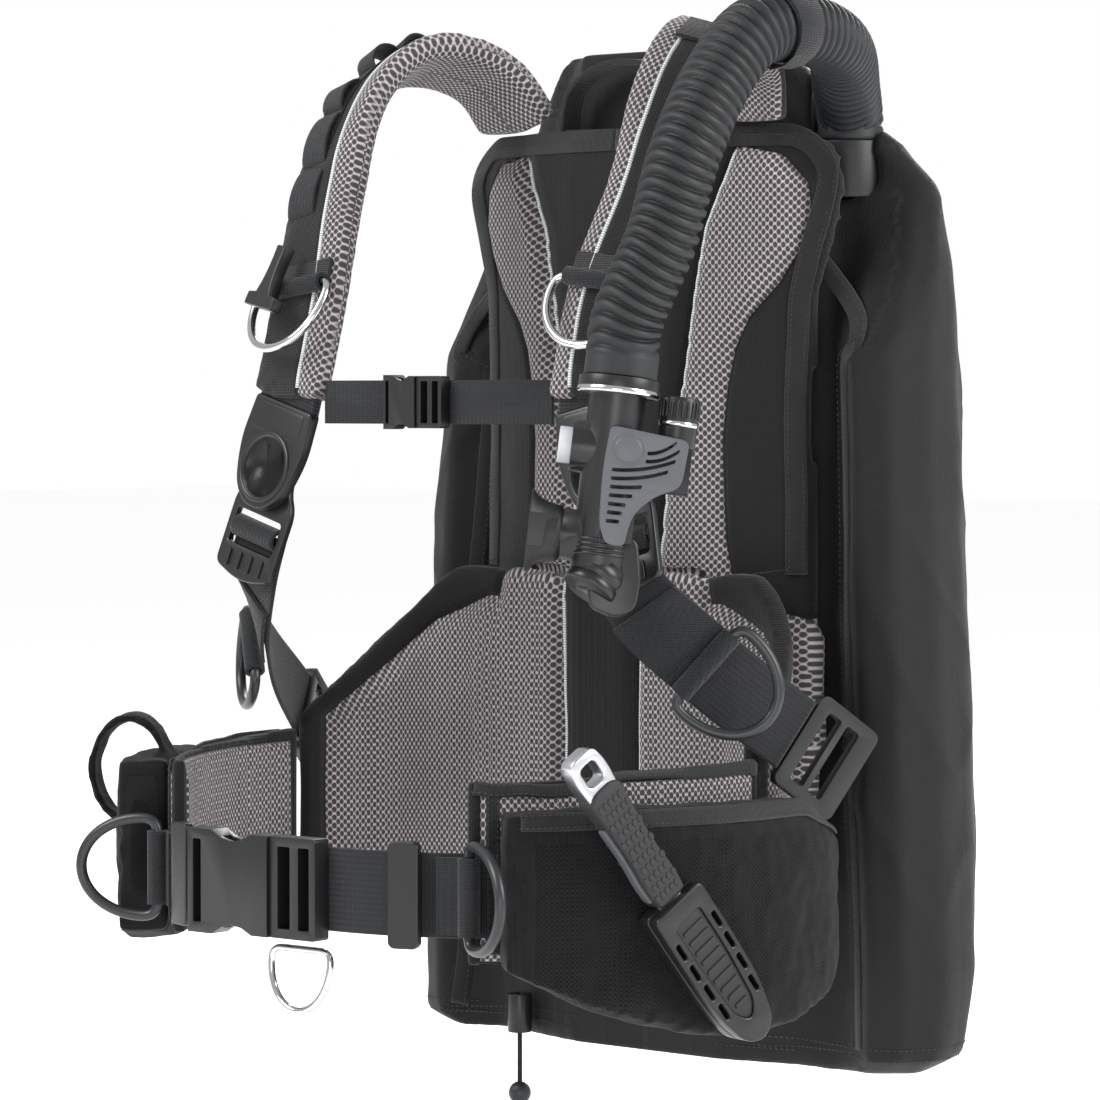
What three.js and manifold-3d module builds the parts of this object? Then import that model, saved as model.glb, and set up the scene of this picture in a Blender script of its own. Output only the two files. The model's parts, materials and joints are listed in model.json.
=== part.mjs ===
// A back-inflate buoyancy compensator vest for scuba diving, in millimetres.
// +Z is up, -Y is the diver's front, +X is the diver's left.
// The origin is the centre of the rubber face that the air tank bears on.
import * as THREE from 'three';
import { mergeVertices } from 'three/addons/utils/BufferGeometryUtils.js';
import Module from 'manifold-3d';

const wasm = await Module();
wasm.setup();

// ---- Driving dimensions ----
const gap = 0.4; // between two pieces that touch
const tankRadius = 92;
const webbing = { thick: 2.2, belt: 46, shoulder: 50, sternum: 25 };
const waist = { half: 174, depth: 331, height: -178 }; // inside line of the waist
const chest = { half: 124, depth: 198, height: 88 }; // where the padded shoulder straps end
const shoulder = { top: 293, root: 84, width: 60, thick: 16 };
const pack = { top: 250, bottom: -215, half: 124, front: -47, sweep: 29 };
const plate = { half: 82, top: 228, bottom: -180, thick: 4.5 };
const grip = { half: 42, height: 250, thick: 9 };
const cell = { top: 300, bottom: -308 };
const hose = { radius: 20 };
const steelRing = { width: 62, drop: 42, wire: 5.5, corner: 6 };
const plasticRing = { width: 64, drop: 46, wire: 7, corner: 6 };
const beltRing = { width: 44, drop: 34, wire: 4.6, corner: 5 };
const swivel = { bore: 17.5, ring: 25.5, half: 28, rise: 40, drop: 70, upperThick: 8, lowerThick: 5 };
const waistBuckle = { left: -61, split: 0, right: 34, half: 29, thick: 13 };
const sternumBuckle = { left: -32, split: -8, right: 11, half: 15.5, thick: 9 };
const pouch = { thick: 28, top: -132, bottom: -258 };
const hipPanel = { thick: 8, top: -111, bottom: -222 };
const lumbar = { thick: 16, bottom: -205 };
const knife = { handle: 100, thick: 15, blade: 84 };
const sheath = { length: 98, width: 37, thick: 19 };
const inflator = { top: 100, length: 110, radius: 15.5 };

// ---- Materials ----
const cloth = (color) => new THREE.MeshStandardMaterial({ color, roughness: 0.9, metalness: 0 });
const plastic = (color) => new THREE.MeshStandardMaterial({ color, roughness: 0.45, metalness: 0 });
const blackNylon = cloth(0x17181a);
const greyMesh = cloth(0x9b9599);
const blackWebbing = cloth(0x202124);
const blackPlastic = plastic(0x26282b);
const greyPlastic = plastic(0x5b6168);
const paleButton = plastic(0xb9bfc4);
const rubber = new THREE.MeshStandardMaterial({ color: 0x2c3033, roughness: 0.7, metalness: 0 });
const steel = new THREE.MeshStandardMaterial({ color: 0xc9c6bf, roughness: 0.2, metalness: 1 });

const vest = new THREE.Group();
const V = (x, y, z) => new THREE.Vector3(x, y, z);

function add(parent, name, geometry, material) {
  const mesh = new THREE.Mesh(geometry, material);
  mesh.name = name;
  parent.add(mesh);
  return mesh;
}

// ---- Lofted solids ----
function signedVolume(position, index) {
  const [a, b, c] = [V(), V(), V()];
  let sum = 0;
  for (let i = 0; i < index.length; i += 3) {
    a.fromArray(position, index[i] * 3);
    b.fromArray(position, index[i + 1] * 3);
    c.fromArray(position, index[i + 2] * 3);
    sum += a.dot(b.cross(c)) / 6;
  }
  return sum;
}

// The triangles that close a ring of points, wound the way the ring runs.
function capTriangles(ring) {
  const normal = V();
  ring.forEach((p, i) => {
    const q = ring[(i + 1) % ring.length];
    normal.x += (p.y - q.y) * (p.z + q.z);
    normal.y += (p.z - q.z) * (p.x + q.x);
    normal.z += (p.x - q.x) * (p.y + q.y);
  });
  normal.normalize();
  const u = ring[1].clone().sub(ring[0]);
  u.addScaledVector(normal, -u.dot(normal)).normalize();
  const v = normal.clone().cross(u);
  const flat = ring.map((p) => new THREE.Vector2(p.dot(u), p.dot(v)));
  return THREE.ShapeUtils.triangulateShape(flat, []).map(([a, b, c]) => {
    const turn = flat[b].clone().sub(flat[a]).cross(flat[c].clone().sub(flat[a]));
    return turn > 0 ? [a, b, c] : [a, c, b];
  });
}

// A closed solid through rings that all hold as many points; a closed one ends where it starts.
function loft(rings, closed = false) {
  const n = rings[0].length;
  const position = rings.flat().flatMap((p) => p.toArray());
  let index = [];
  const spans = closed ? rings.length : rings.length - 1;
  for (let i = 0; i < spans; i++) {
    const next = ((i + 1) % rings.length) * n;
    for (let j = 0; j < n; j++) {
      const k = (j + 1) % n;
      index.push(i * n + j, i * n + k, next + j, i * n + k, next + k, next + j);
    }
  }
  if (!closed) {
    const last = (rings.length - 1) * n;
    capTriangles(rings[0]).forEach(([a, b, c]) => index.push(a, c, b));
    capTriangles(rings.at(-1)).forEach(([a, b, c]) => index.push(last + a, last + b, last + c));
  }
  if (signedVolume(position, index) < 0) {
    index = index.flatMap((_, i) => (i % 3 ? [] : [index[i], index[i + 2], index[i + 1]]));
  }
  const geometry = new THREE.BufferGeometry();
  geometry.setAttribute('position', new THREE.Float32BufferAttribute(position, 3));
  geometry.setIndex(index);
  return geometry;
}

// ---- Booleans ----
function toSolid(geometry) {
  const bare = new THREE.BufferGeometry().setAttribute('position', geometry.getAttribute('position'));
  bare.setIndex(geometry.index);
  const merged = mergeVertices(bare, 1e-4);
  return new wasm.Manifold(new wasm.Mesh({
    numProp: 3,
    vertProperties: new Float32Array(merged.attributes.position.array),
    triVerts: new Uint32Array(merged.index.array),
  }));
}

// The largest body of a solid, because a cut can leave a chip behind.
function toGeometry(solid) {
  const body = solid.decompose().sort((a, b) => b.volume() - a.volume())[0];
  const mesh = body.getMesh();
  const geometry = new THREE.BufferGeometry();
  geometry.setAttribute('position', new THREE.Float32BufferAttribute(mesh.vertProperties, 3));
  geometry.setIndex(new THREE.Uint32BufferAttribute(mesh.triVerts, 1));
  return geometry;
}

const cut = (body, ...tools) => toGeometry(tools.reduce((s, t) => s.subtract(toSolid(t)), toSolid(body)));
const join = (...bodies) => toGeometry(bodies.map(toSolid).reduce((s, t) => s.add(t)));
const moved = (geometry, x, y, z) => geometry.clone().translate(x, y, z);

const boxFrom = (x0, x1, y0, y1, z0, z1) =>
  new THREE.BoxGeometry(x1 - x0, y1 - y0, z1 - z0).translate((x0 + x1) / 2, (y0 + y1) / 2, (z0 + z1) / 2);

// A cylinder standing on z0 along Z.
function post(radius, z0, z1, sides = 20) {
  const cylinder = new THREE.CylinderGeometry(radius, radius, z1 - z0, sides);
  return cylinder.rotateX(Math.PI / 2).translate(0, 0, (z0 + z1) / 2);
}

// A flat shape in XY given thickness along Z.
const slab = (shape, z0, z1, curveSegments = 4) =>
  new THREE.ExtrudeGeometry(shape, { depth: z1 - z0, bevelEnabled: false, curveSegments }).translate(0, 0, z0);

function roundedRect(x0, x1, y0, y1, r, Kind = THREE.Shape) {
  const s = new Kind();
  s.moveTo(x0 + r, y0);
  s.lineTo(x1 - r, y0);
  s.absarc(x1 - r, y0 + r, r, -Math.PI / 2, 0);
  s.lineTo(x1, y1 - r);
  s.absarc(x1 - r, y1 - r, r, 0, Math.PI / 2);
  s.lineTo(x0 + r, y1);
  s.absarc(x0 + r, y1 - r, r, Math.PI / 2, Math.PI);
  s.lineTo(x0, y0 + r);
  s.absarc(x0 + r, y0 + r, r, Math.PI, 1.5 * Math.PI);
  return s;
}

// ---- Straps: a path with an outward side ----
class Strap {
  constructor(points, outward) {
    this.path = new THREE.CatmullRomCurve3(points);
    this.facing = new THREE.CatmullRomCurve3(outward);
  }

  // Position and axes at t: x across, y back up the strap, z outward.
  frame(t, lift = 0, across = 0) {
    const p = this.path.getPoint(t);
    const y = this.path.getTangent(t).negate();
    const z = this.facing.getPoint(t);
    z.addScaledVector(y, -z.dot(y)).normalize();
    const x = y.clone().cross(z);
    return { p: p.addScaledVector(z, lift).addScaledVector(x, across), x, y, z };
  }

  // section(t) gives the outline across and outward at t, run the other way round on the right side.
  solid(section, t0 = 0, t1 = 1, steps = 18) {
    const turn = this.path.points.at(-1).x < 0 ? -1 : 1;
    const rings = [];
    for (let i = 0; i <= steps; i++) {
      const t = t0 + ((t1 - t0) * i) / steps;
      const { p, x, z } = this.frame(t);
      rings.push(section(t).map(([a, b]) => p.clone().addScaledVector(x, turn * a).addScaledVector(z, b)));
    }
    return loft(rings);
  }

  // A group whose axes are the strap's at t.
  seat(t, lift = 0, across = 0) {
    const f = this.frame(t, lift, across);
    return seatAt(f.p, f.x, f.y, f.z);
  }

  // The t at which a coordinate of the path reaches a value, for a coordinate that only grows or shrinks.
  find(axis, value, t0 = 0, t1 = 1) {
    const rising = this.path.getPoint(t1)[axis] > this.path.getPoint(t0)[axis];
    for (let i = 0; i < 40; i++) {
      const t = (t0 + t1) / 2;
      if (this.path.getPoint(t)[axis] > value === rising) t1 = t;
      else t0 = t;
    }
    return (t0 + t1) / 2;
  }
}

function seatAt(p, x, y, z) {
  const group = new THREE.Group();
  const place = new THREE.Matrix4().makeBasis(x, y, z).setPosition(p);
  place.decompose(group.position, group.quaternion, group.scale);
  vest.add(group);
  return group;
}

const flat = (width, thick, lift = 0) => () => [
  [-width / 2, lift - thick / 2], [width / 2, lift - thick / 2],
  [width / 2, lift + thick / 2], [-width / 2, lift + thick / 2],
];

// A padded section: flat on its outer face, rounded at the sides.
const padded = (width, thick, grow = 0) => () => {
  const [w, h] = [width / 2 + grow, thick / 2 + grow];
  return [
    [-w + h * 0.6, -h], [w - h * 0.6, -h], [w - h * 0.1, -h * 0.45], [w, h * 0.3],
    [w - h * 0.35, h], [-w + h * 0.35, h], [-w, h * 0.3], [-w + h * 0.1, -h * 0.45],
  ];
};

// ---- D-rings and the sewn tabs that hold them ----
// The bar lies along X through the origin and the bow hangs towards -Y.
function ringWire({ width, drop, wire, corner }, lean) {
  const half = width / 2;
  const side = corner + 3;
  const outline = new THREE.Path();
  outline.moveTo(-half + corner, 0);
  outline.lineTo(half - corner, 0);
  outline.absarc(half - corner, -corner, corner, Math.PI / 2, 0, true);
  outline.lineTo(half, -side);
  outline.absellipse(0, -side, half, drop - side, 0, -Math.PI, true);
  outline.lineTo(-half, -corner);
  outline.absarc(-half + corner, -corner, corner, Math.PI, Math.PI / 2, true);
  const points = outline.getSpacedPoints(30).slice(0, -1);
  const rings = points.map((p, i) => {
    const along = points[(i + 1) % points.length].clone().sub(points.at(i - 1)).normalize();
    return Array.from({ length: 8 }, (_, k) => {
      const turn = (k * Math.PI) / 4;
      const out = (wire / 2) * Math.cos(turn);
      return V(p.x + along.y * out, p.y - along.x * out, (wire / 2) * Math.sin(turn));
    });
  });
  return loft(rings, true).rotateX(-lean);
}

const tabLift = (ring) => ring.wire / 2 + gap + webbing.thick; // bar axis above the tab's underside
const tabWidth = (ring) => ring.width - 2 * ring.corner - 1;

// Webbing folded round the bar, its two layers sewn flat behind it.
function tabFold(ring, length, width = tabWidth(ring)) {
  const outer = tabLift(ring);
  const meet = Math.asin((webbing.thick - outer) / outer);
  const s = new THREE.Shape();
  s.moveTo(length, -outer);
  s.lineTo(0, -outer);
  s.absarc(0, 0, outer, -Math.PI / 2, meet - 2 * Math.PI, true);
  s.lineTo(length, webbing.thick - outer);
  const bore = new THREE.Path();
  bore.absarc(0, 0, ring.wire / 2 + gap, 0, 2 * Math.PI);
  s.holes.push(bore);
  const g = new THREE.ExtrudeGeometry(s, { depth: width, bevelEnabled: false, curveSegments: 8 });
  // shape x becomes local Y, shape y becomes local Z, and depth becomes local X
  g.applyMatrix4(new THREE.Matrix4().makeBasis(V(0, 1, 0), V(0, 0, 1), V(1, 0, 0)));
  return g.translate(-width / 2, 0, 0);
}

// ---- Backplate, grip pad and tank band ----
const gripFace = 0;
const bandGroove = webbing.thick + 2 * gap;
const cellRear = gripFace - grip.thick - gap; // rear face of the air cell's thin centre
const cellThin = 12;
const plateRear = cellRear - cellThin - gap;
const bandRise = 40; // height of the tank band's middle

const gripPad = boxFrom(-grip.half, grip.half, -grip.thick, gripFace, -grip.height / 2, grip.height / 2);
const halfBelt = webbing.shoulder / 2;
const groove = boxFrom(
  -grip.half - 1, grip.half + 1, -grip.thick - 1, -grip.thick + bandGroove,
  bandRise - halfBelt - gap, bandRise + halfBelt + gap,
);
add(vest, 'tank_grip_pad', cut(gripPad, groove), rubber);

// The band lies flat in the groove and then runs round the tank.
function tankBand() {
  const inner = tankRadius + gap;
  const flatY = -grip.thick + gap + webbing.thick;
  const outline = (r, y) => {
    const points = [V(-grip.half, y, 0), V(0, y, 0), V(grip.half, y, 0)];
    for (let a = -50; a <= 230; a += 14) {
      const turn = THREE.MathUtils.degToRad(a);
      points.push(V(r * Math.cos(turn), tankRadius + r * Math.sin(turn), 0));
    }
    return points;
  };
  const inside = outline(inner, flatY);
  const outside = outline(inner + webbing.thick, flatY - webbing.thick);
  const rings = inside.map((p, i) => [
    V(p.x, p.y, bandRise - halfBelt), V(outside[i].x, outside[i].y, bandRise - halfBelt),
    V(outside[i].x, outside[i].y, bandRise + halfBelt), V(p.x, p.y, bandRise + halfBelt),
  ]);
  return loft(rings, true);
}
add(vest, 'tank_band', tankBand(), blackWebbing);

const plateShape = roundedRect(-plate.half, plate.half, plate.bottom, plate.top, 22);
// slab stands along Z; turned, it stands along Y with its height along Z
const plateSlab = slab(plateShape, 0, plate.thick).rotateX(Math.PI / 2).translate(0, plateRear, 0);
add(vest, 'backplate', plateSlab, blackPlastic);

// ---- Air cell ----
// Half of a level section: front face from the centre out, round the lobe, back to the centre.
const cellHalf = [
  [58, cellRear - cellThin], [100, -11], [128, 0], [142, -10], [158, -24], [177, -13],
  [187, 14], [184, 47], [170, 72], [146, 90], [119, 84], [97, 52], [72, 12], [52, -5], [grip.half, cellRear],
];
// How far the lobes reach out and back, and how far their front edge slopes rearward, from the hem up.
const cellLevels = [
  { z: cell.bottom, wide: 0.94, deep: 0.55, slope: 0.2 },
  { z: cell.bottom + 10, wide: 1.06, deep: 0.9, slope: 0 },
  { z: cell.bottom + 60, wide: 1.08, deep: 1, slope: 0 },
  { z: -120, wide: 1.04, deep: 1, slope: 0 },
  { z: 20, wide: 1, deep: 1, slope: 0 },
  { z: 115, wide: 0.97, deep: 1, slope: 0.04 },
  { z: 165, wide: 0.93, deep: 1, slope: 0.42 },
  { z: cell.top - 84, wide: 0.84, deep: 0.98, slope: 0.72 },
  { z: cell.top - 58, wide: 0.68, deep: 0.84, slope: 0.7 },
  { z: cell.top - 30, wide: 0.48, deep: 0.6, slope: 0.6 },
  { z: cell.top - 8, wide: 0.3, deep: 0.36, slope: 0.5 },
  { z: cell.top, wide: 0.2, deep: 0.25, slope: 0.5 },
];
function cellRing({ z, wide, deep, slope }) {
  const hub = grip.half + 6;
  const half = cellHalf.map(([x, y], i) => {
    const behind = y > cellRear ? cellRear + (y - cellRear) * deep : y;
    const front = i < 8 ? slope * THREE.MathUtils.smoothstep(x, 90, 165) : 0;
    return V(x > hub ? hub + (x - hub) * wide : x, behind + (cellRear + 68 * deep - behind) * front, z);
  });
  return [...half, ...half.toReversed().map((p) => V(-p.x, p.y, p.z))];
}
const elbow = { x: 112, y: 34, z: 208, radius: 21, height: 34 };
const hoseStart = V(elbow.x, elbow.y, elbow.z + elbow.height + gap);
const hoseEnd = V(161, -243, inflator.top);
const inflatorFoot = V(157, -258, inflator.top - inflator.length);
const inflatorUp = hoseEnd.clone().sub(inflatorFoot).normalize();
const hosePath = new THREE.CatmullRomCurve3([
  hoseStart, hoseStart.clone().add(V(0, 0, 12)), V(124, 14, 272), V(144, -18, 288), V(160, -54, 295),
  V(167, -94, 298), V(170, -137, 292), V(171, -172, 263), V(174, -204, 221), V(172, -221, 176),
  hoseEnd.clone().addScaledVector(inflatorUp, 30), hoseEnd.clone().addScaledVector(inflatorUp, 8), hoseEnd,
]);
function tube(path, radius, steps, sides, t0 = 0, t1 = 1) {
  const rings = [];
  for (let i = 0; i <= steps; i++) {
    const t = t0 + ((t1 - t0) * i) / steps;
    const along = path.getTangent(t);
    const side = V(1, 0, 0).addScaledVector(along, -along.x).normalize();
    const other = along.clone().cross(side);
    rings.push(Array.from({ length: sides }, (_, k) => {
      const turn = (2 * Math.PI * k) / sides;
      return path.getPoint(t).addScaledVector(side, radius * Math.cos(turn))
        .addScaledVector(other, radius * Math.sin(turn));
    }));
  }
  return loft(rings);
}
const hoseRoom = tube(hosePath, hose.radius + 1, 14, 14, 0, 0.3);
const elbowPocket = moved(post(elbow.radius + gap, elbow.z - gap, cell.top + 10), elbow.x, elbow.y, 0);
const cellSolid = cut(loft(cellLevels.map(cellRing)), elbowPocket, hoseRoom);
add(vest, 'air_cell', cellSolid, blackNylon);

// ---- Back pad ----
const padFront = (x) => pack.front + pack.sweep * Math.min(1, Math.abs(x) / 130) ** 2.2;
const padLevels = [
  [pack.top, 0.88], [pack.top - 12, 1.08], [pack.top - 34, 1.15], [pack.top - 70, 1.08], [150, 1],
  [80, 0.98], [0, 1], [-60, 1], [pack.bottom + 15, 0.97], [pack.bottom, 0.8],
];
add(vest, 'back_pad', loft(padLevels.map(([z, wide]) => {
  const edge = pack.half * wide;
  const inner = plate.half + 1;
  const xs = [0.25, 0.5, 0.75, 0.88, 1].map((share) => edge * share);
  const behind = [[edge, padFront(edge) + 11], [inner, plateRear - plate.thick - gap]];
  return [
    ...xs.toReversed().map((x) => V(-x, padFront(x), z)), ...xs.map((x) => V(x, padFront(x), z)),
    ...behind.map(([x, y]) => V(x, y, z)), ...behind.toReversed().map(([x, y]) => V(-x, y, z)),
  ];
})), blackNylon);

// ---- Waist girdle: one line from the middle of the back round each hip to the front ----
const girdleX = [0, 0.34, 0.63, 0.82, 0.93, 1, 0.995, 0.905, 0.75, 0.58, 0.34, 0];
const girdleY = [0, 0, 0.006, 0.06, 0.175, 0.315, 0.49, 0.67, 0.835, 0.935, 0.988, 1];
const girdleBack = padFront(pack.half * 0.25) - gap - lumbar.thick / 2;
function girdle(s) {
  const reach = -waist.depth - girdleBack;
  const points = girdleX.map((x, i) => V(s * x * waist.half, girdleBack + girdleY[i] * reach, waist.height));
  const line = new THREE.CatmullRomCurve3(points);
  const outward = points.map((_, i) => {
    const along = line.getTangent(i / (points.length - 1));
    return V(-s * along.y, s * along.x, 0);
  });
  return new Strap(points, outward);
}
const hip = { '-1': girdle(-1), 1: girdle(1) };
const wingEnd = 5 / 11; // where the lumbar pad stops on the girdle

// A strip standing on the girdle between two heights, its thickness centred at lift.
function girdleStrip(s, t0, t1, lift, thick, bottom, top, steps = 14) {
  const rings = [];
  for (let i = 0; i <= steps; i++) {
    const share = i / steps;
    const { p, z } = hip[s].frame(t0 + (t1 - t0) * share);
    const [low, high] = [bottom(share), top(share)];
    const side = (d) => p.clone().addScaledVector(z, lift + d);
    const [a, b] = [side(-thick / 2), side(thick / 2)];
    rings.push([V(a.x, a.y, low), V(b.x, b.y, low), V(b.x, b.y, high), V(a.x, a.y, high)]);
  }
  return loft(rings);
}

// Axes on the girdle with y slanting up towards the front: x across, y up the slant, z outward.
function slanted(s, t, lift, height, slope) {
  const { p, z } = hip[s].frame(t, lift);
  const y = hip[s].path.getTangent(t).multiplyScalar(Math.cos(slope)).add(V(0, 0, Math.sin(slope)));
  p.z = height;
  return { p, x: y.clone().cross(z), y, z };
}

const wingTop = new THREE.CatmullRomCurve3([-20, -18, -12, -38, -72, -102].map((z, i) => V(i, 0, z)));
function lumbarPad() {
  const rings = [];
  for (const s of [-1, 1]) {
    for (let i = s < 0 ? 14 : -1; s < 0 ? i >= 0 : i < 14; i += s) {
      const share = (s < 0 ? i : i + 1) / 14;
      if (s > 0 && i < 0) continue;
      const { p, z } = hip[s].frame(wingEnd * share);
      const high = wingTop.getPoint(share).z;
      const low = lumbar.bottom + 14 * share;
      const half = (lumbar.thick / 2) * (1 - 0.35 * share);
      const [a, b] = [-half, half].map((d) => p.clone().addScaledVector(z, d - lumbar.thick / 2 + half));
      rings.push([V(a.x, a.y, low), V(b.x, b.y, low), V(b.x, b.y, high), V(a.x, a.y, high)]);
    }
  }
  return loft(rings);
}
add(vest, 'lumbar_pad', lumbarPad(), greyMesh);

const panelEnd = 0.8;
// The waist ring hangs under the belt from a tab sewn behind the belt's left end.
const waistRingX = 14;
function waistTab() {
  const y = hip[1].frame(1, beltLift - webbing.thick / 2 + 0.1).p.y + webbing.thick - tabLift(beltRing);
  const z = waist.height - waistBuckle.half - tabLift(beltRing) - gap;
  waistRing.position.set(waistRingX, y, z);
  return tabFold(beltRing, 26, 22).rotateX(Math.PI / 2).translate(waistRingX, y, z);
}
const waistRing = new THREE.Group();
waistRing.rotation.x = Math.PI / 2;
vest.add(waistRing);
const beltLift = hipPanel.thick / 2 + gap + webbing.thick / 2;
const pouchLift = beltLift + webbing.thick / 2 + gap + pouch.thick / 2;
const constant = (value) => () => value;
const beltBottom = constant(waist.height - webbing.belt / 2);
const beltTop = constant(waist.height + webbing.belt / 2);
for (const s of [-1, 1]) {
  const side = s < 0 ? 'right' : 'left';
  const start = wingEnd + 0.0014;
  add(vest, `hip_panel_${side}`, girdleStrip(
    s, start, panelEnd, 0, hipPanel.thick, (u) => hipPanel.bottom + 6 * u, (u) => hipPanel.top - 6 * u,
  ), greyMesh);
  // the two belt ends lap behind the buckle
  const beltEnd = hip[s].find('x', s < 0 ? -gap : gap, 0.7, 1);
  const belt = girdleStrip(s, 0.55, beltEnd, beltLift, webbing.thick, beltBottom, beltTop, 18);
  add(vest, `waist_belt_${side}`, s < 0 ? belt : join(belt, waistTab()), blackWebbing);
}

// ---- Hip pouches ----
const pouchEnd = 0.76;
const rightPouch = girdleStrip(
  -1, 0.57, pouchEnd, pouchLift, pouch.thick, (u) => -216 - 10 * Math.sin(Math.PI * u), () => -118, 8,
);
// the pull handle stands up from the pouch's top as an open loop
function pouchHandle() {
  const t = 0.69;
  const f = hip[-1].frame(t, pouchLift);
  const loop = [];
  for (let a = 0; a < 20; a++) {
    const turn = (a * Math.PI) / 10;
    const centre = f.p.clone().addScaledVector(f.z, 12 + 22 * Math.cos(turn));
    centre.z = -126 + 30 * Math.sin(turn);
    const out = f.z.clone().multiplyScalar(Math.cos(turn)).add(V(0, 0, Math.sin(turn)));
    loop.push([[-12, -2], [12, -2], [12, 2], [-12, 2]].map(([w, d]) =>
      centre.clone().addScaledVector(f.y, w).addScaledVector(out, d)));
  }
  return loft(loop, true);
}
add(vest, 'weight_pouch_right', join(rightPouch, pouchHandle()), blackNylon);
const leftPouch = girdleStrip(
  1, 0.36, pouchEnd, pouchLift, pouch.thick,
  (u) => pouch.bottom + 42 * (1 - Math.sin(Math.PI * (0.15 + 0.85 * u))),
  (u) => pouch.top - 26 * Math.max(0, 1 - 4 * u), 16,
);
add(vest, 'hip_pocket_left', leftPouch, blackNylon);

// ---- Shoulder straps ----
function shoulderPath(s) {
  const d = chest.depth;
  return new Strap(
    [
      V(s * shoulder.root, -36, pack.top + gap + 1.2), V(s * (shoulder.root + 13), -56, shoulder.top - 9),
      V(s * (shoulder.root + 30), -98, shoulder.top), V(s * chest.half, -0.7 * d, shoulder.top - 27),
      V(s * chest.half, -0.85 * d, 205), V(s * (chest.half - 9), -0.97 * d, 146),
      V(s * (chest.half - 8), -d - 10, chest.height),
    ],
    [
      V(s * 0.05, 0.9, 0.55), V(s * 0.2, 0.35, 0.92), V(s * 0.35, -0.05, 0.93), V(s * 0.35, -0.65, 0.68),
      V(s * 0.16, -0.93, 0.3), V(s * 0.1, -0.98, 0.16), V(s * 0.1, -0.98, 0.14),
    ],
  );
}
const strap = { '-1': shoulderPath(-1), 1: shoulderPath(1) };
const padFace = shoulder.thick / 2;

// Local axes of a shoulder buckle: origin on the swivel's centre, x across, y up, z outward.
const buckleGroup = {};
for (const s of [-1, 1]) {
  const end = strap[s].frame(1);
  const y = V(-s * 0.27, 0.16, 0.95).normalize();
  const z = V(s * 0.12, -0.98, 0);
  z.addScaledVector(y, -z.dot(y)).normalize();
  const p = end.p.clone().addScaledVector(y, -swivel.rise - 2).addScaledVector(z, 1 - swivel.upperThick / 2);
  buckleGroup[s] = seatAt(p, y.clone().cross(z), y, z);
  buckleGroup[s].updateMatrixWorld(true);
}
for (const s of [-1, 1]) {
  const side = s < 0 ? 'right' : 'left';
  const pad = strap[s].solid(padded(shoulder.width, shoulder.thick), 0, 1, 22);
  const room = boxFrom(-60, 60, -60, swivel.rise + gap, -60, 60).applyMatrix4(buckleGroup[s].matrixWorld);
  const packTop = boxFrom(-200, 200, -90, 20, pack.top - 40, pack.top + gap);
  add(vest, `shoulder_pad_${side}`, cut(pad, room, packTop), blackNylon);
}
// ---- Chest rings ----
const chestRingZ = 150;
for (const s of [-1, 1]) {
  const side = s < 0 ? 'right' : 'left';
  const t = strap[s].find('z', chestRingZ, 0.5, 1);
  const group = strap[s].seat(t, padFace + gap + 0.5 + tabLift(steelRing));
  add(group, `chest_ring_tab_${side}`, tabFold(steelRing, 16), blackWebbing);
  add(group, `chest_ring_${side}`, ringWire(steelRing, 0.2), steel);
}

// ---- Whistle, lying on the ring's tab ----
{
  const t = strap[-1].find('z', chestRingZ + 19.5, 0.5, 1);
  const group = strap[-1].seat(t, padFace + 2 * tabLift(steelRing) + 2 * gap + 0.7);
  group.rotateZ(-0.42);
  const s = new THREE.Shape();
  s.moveTo(-4.5, 22);
  s.lineTo(4.5, 22);
  s.quadraticCurveTo(3, 4, 7, -8);
  s.lineTo(14, -9);
  s.lineTo(14, -17);
  s.lineTo(-14, -17);
  s.lineTo(-14, -9);
  s.lineTo(-7, -8);
  s.quadraticCurveTo(-3, 4, -4.5, 22);
  // the origin is where the tether holds the top of the whistle
  add(group, 'whistle', slab(s, 0, 8).translate(0, -22, 0), blackPlastic);
}

// ---- Shoulder buckles ----
function upperPlate() {
  const s = new THREE.Shape();
  s.moveTo(-swivel.half, swivel.rise);
  s.lineTo(swivel.half, swivel.rise);
  s.lineTo(swivel.ring, 0);
  s.absarc(0, 0, swivel.ring, 0, -Math.PI, true);
  const bore = new THREE.Path();
  bore.absarc(0, 0, swivel.bore, 0, 2 * Math.PI);
  s.holes.push(bore);
  return slab(s, 0, swivel.upperThick, 12);
}
function lowerPlate() {
  const s = new THREE.Shape();
  s.moveTo(-26, -18);
  s.lineTo(-26, -swivel.drop + 6);
  s.quadraticCurveTo(0, -swivel.drop - 6, 26, -swivel.drop + 6);
  s.lineTo(26, -18);
  s.absarc(0, 0, 24, -0.6, Math.PI + 0.6);
  s.holes.push(roundedRect(-21, 21, -50, -28, 2, THREE.Path));
  const base = slab(s, -gap - swivel.lowerThick, -gap);
  return join(base, post(swivel.bore - gap, -gap - 1, swivel.upperThick - 2, 24));
}
const pocketCutter = (s, lift) => strap[s].solid(padded(shoulder.width, shoulder.thick, lift), 0.9, 1, 4);

// ---- Lower straps, from the swivel plates to the hip adjusters ----
function lowerPath(s) {
  const back = -gap - swivel.lowerThick - gap - webbing.thick / 2;
  const at = (y, z) => buckleGroup[s].localToWorld(V(0, y, z));
  const [a, b] = [at(-38, back - 0.3), at(-swivel.drop + 6, back - 4)];
  const out = V(0, 0, 1).transformDirection(buckleGroup[s].matrixWorld);
  return new Strap(
    [a, b, V(s * (waist.half - 5), b.y + 40, b.z - 46), V(s * (waist.half + 15), b.y + 90, b.z - 84)],
    [out, out, V(s * 0.62, -0.76, 0.05), V(s * 0.86, -0.5, 0.05)],
  );
}
const lower = { '-1': lowerPath(-1), 1: lowerPath(1) };

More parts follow.
